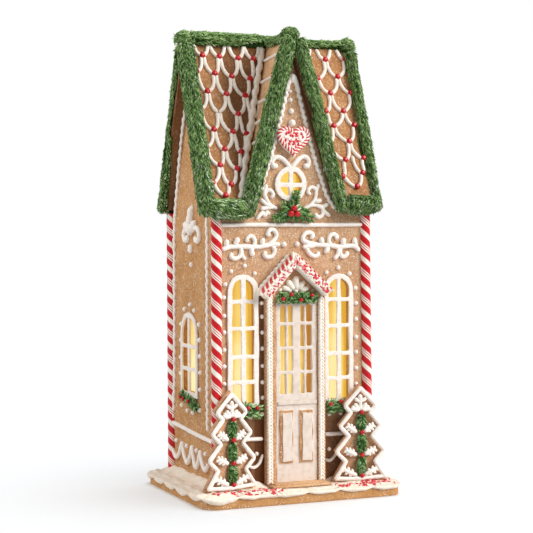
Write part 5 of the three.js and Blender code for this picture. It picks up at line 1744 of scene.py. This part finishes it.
for seed, (side, (spot, turn)) in enumerate(TREES.items(), 121):
    cookie = softened(f"tree_{side}", f"cookie_tree_{side}", 1.1 * MM)
    fitted(cookie, "gingerbread", tree_dough, f"tree_{side}")
    face = tree_face(spot, turn)
    iced(f"icing_tree_{side}", face, tree_icing_lines(), [], tree_icing)
    greenery(f"greenery_tree_{side}", face, seed)
    beads_on(f"candy_beads_tree_{side}", face, [(1.6, z) for z in BEADS_UP], TREE_BEAD, 0.45)

# ---- Floor and light -------------------------------------------------------------------
# The house stands on a plain pale floor under a soft key light from the right front, with a
# pale reflector on its left. The floor has a light of its own and bounces a little back up.
bpy.ops.mesh.primitive_plane_add(size=40)
floor = bpy.context.object
floor.name = "floor"
floor.visible_diffuse = False
paper = Finish("white paper", Roughness=0.9, Specular_IOR_Level=0.0, Emission_Strength=0.15)
speckle = paper.noise(paper.place(), 0.5, 2)
paper.give("Base Color", paper.blend(speckle, (0.915, 0.93, 0.945, 1), (0.935, 0.95, 0.965, 1)))
paper.give("Emission Color", (0.92, 0.97, 1, 1))
floor.data.materials.append(paper.material)

TARGET = Vector((0, 0, 0.25))
KEY_SIDE, KEY_HEIGHT = 44, 32
REFLECTOR_SIDE, REFLECTOR_HEIGHT = -98, 36


def lamp(name, kind, side, height, distance, **settings):
    """A lamp aimed at the house: side is degrees right of straight in front."""
    light = bpy.data.lights.new(name, kind)
    for setting, value in settings.items():
        setattr(light, setting, value)
    holder = bpy.data.objects.new(name, light)
    bpy.context.scene.collection.objects.link(holder)
    side, height = math.radians(side), math.radians(height)
    away = Vector((math.sin(side) * math.cos(height), -math.cos(side) * math.cos(height), math.sin(height)))
    holder.location = TARGET + away * distance
    holder.rotation_euler = away.to_track_quat("Z", "Y").to_euler()
    return holder


key = lamp("key", "SUN", KEY_SIDE, KEY_HEIGHT, 2.0, energy=3.4, angle=math.radians(36))
reflector = lamp("left reflector", "AREA", REFLECTOR_SIDE, REFLECTOR_HEIGHT, 1.5, energy=14.5, size=1.4)
shadeless = bpy.data.collections.new("floor without the key's shadow")
shadeless.objects.link(floor)
key.light_linking.receiver_collection = shadeless
reflector.light_linking.receiver_collection = shadeless
shadeless.collection_objects[0].light_linking.link_state = "EXCLUDE"
floor_light = lamp("floor light", "SUN", 72, 74, 2.0, energy=2.2, angle=math.radians(80))
floor_only = bpy.data.collections.new("floor alone")
floor_only.objects.link(floor)
floor_light.light_linking.receiver_collection = floor_only
bounce = lamp("floor bounce", "SUN", -35, -62, 2.0, energy=1.15, angle=math.radians(120))
bounce.light_linking.receiver_collection = shadeless
bounce.light_linking.blocker_collection = shadeless
world = bpy.data.worlds.new("studio")
bpy.context.scene.world = world
world.use_nodes = True
sky = world.node_tree.nodes["Background"]
sky.inputs["Color"].default_value = (1, 1, 1, 1)
sky.inputs["Strength"].default_value = 0.31
backdrop = world.node_tree.nodes.new("ShaderNodeBackground")
backdrop.inputs["Color"].default_value = (1, 1, 1, 1)
backdrop.inputs["Strength"].default_value = 1.0
path = world.node_tree.nodes.new("ShaderNodeLightPath")
choose = world.node_tree.nodes.new("ShaderNodeMixShader")
world.node_tree.links.new(path.outputs["Is Camera Ray"], choose.inputs["Fac"])
world.node_tree.links.new(sky.outputs["Background"], choose.inputs[1])
world.node_tree.links.new(backdrop.outputs["Background"], choose.inputs[2])
world.node_tree.links.new(choose.outputs["Shader"], world.node_tree.nodes["World Output"].inputs["Surface"])
bpy.context.scene.view_settings.view_transform = "Standard"

# ---- Camera ----------------------------------------------------------------------------
# A long lens at the house's front left, a little above its middle. The frame is square, and
# the lens is given as its focal length in pixels of that frame.
FOCAL_PIXELS = 1481.88
FRAME_PIXELS = 533
CAMERA_SPOT = Vector((-660.4, -1559.4, 303.5)) * MM
AZIMUTH, PITCH, ROLL = math.radians(22.792), math.radians(1.646), math.radians(-0.246)
camera_data = bpy.data.cameras.new("camera")
camera_data.sensor_width = 36
camera_data.lens = FOCAL_PIXELS / FRAME_PIXELS * camera_data.sensor_width
camera = bpy.data.objects.new("camera", camera_data)
bpy.context.scene.collection.objects.link(camera)
forward = Vector((math.sin(AZIMUTH) * math.cos(PITCH), math.cos(AZIMUTH) * math.cos(PITCH), -math.sin(PITCH)))
level = Vector((math.cos(AZIMUTH), -math.sin(AZIMUTH), 0))
above = level.cross(forward)
right = level * math.cos(ROLL) + above * math.sin(ROLL)
up = above * math.cos(ROLL) - level * math.sin(ROLL)
camera.matrix_world = Matrix.Translation(CAMERA_SPOT) @ Matrix((right, up, -forward)).transposed().to_4x4()
bpy.context.scene.camera = camera
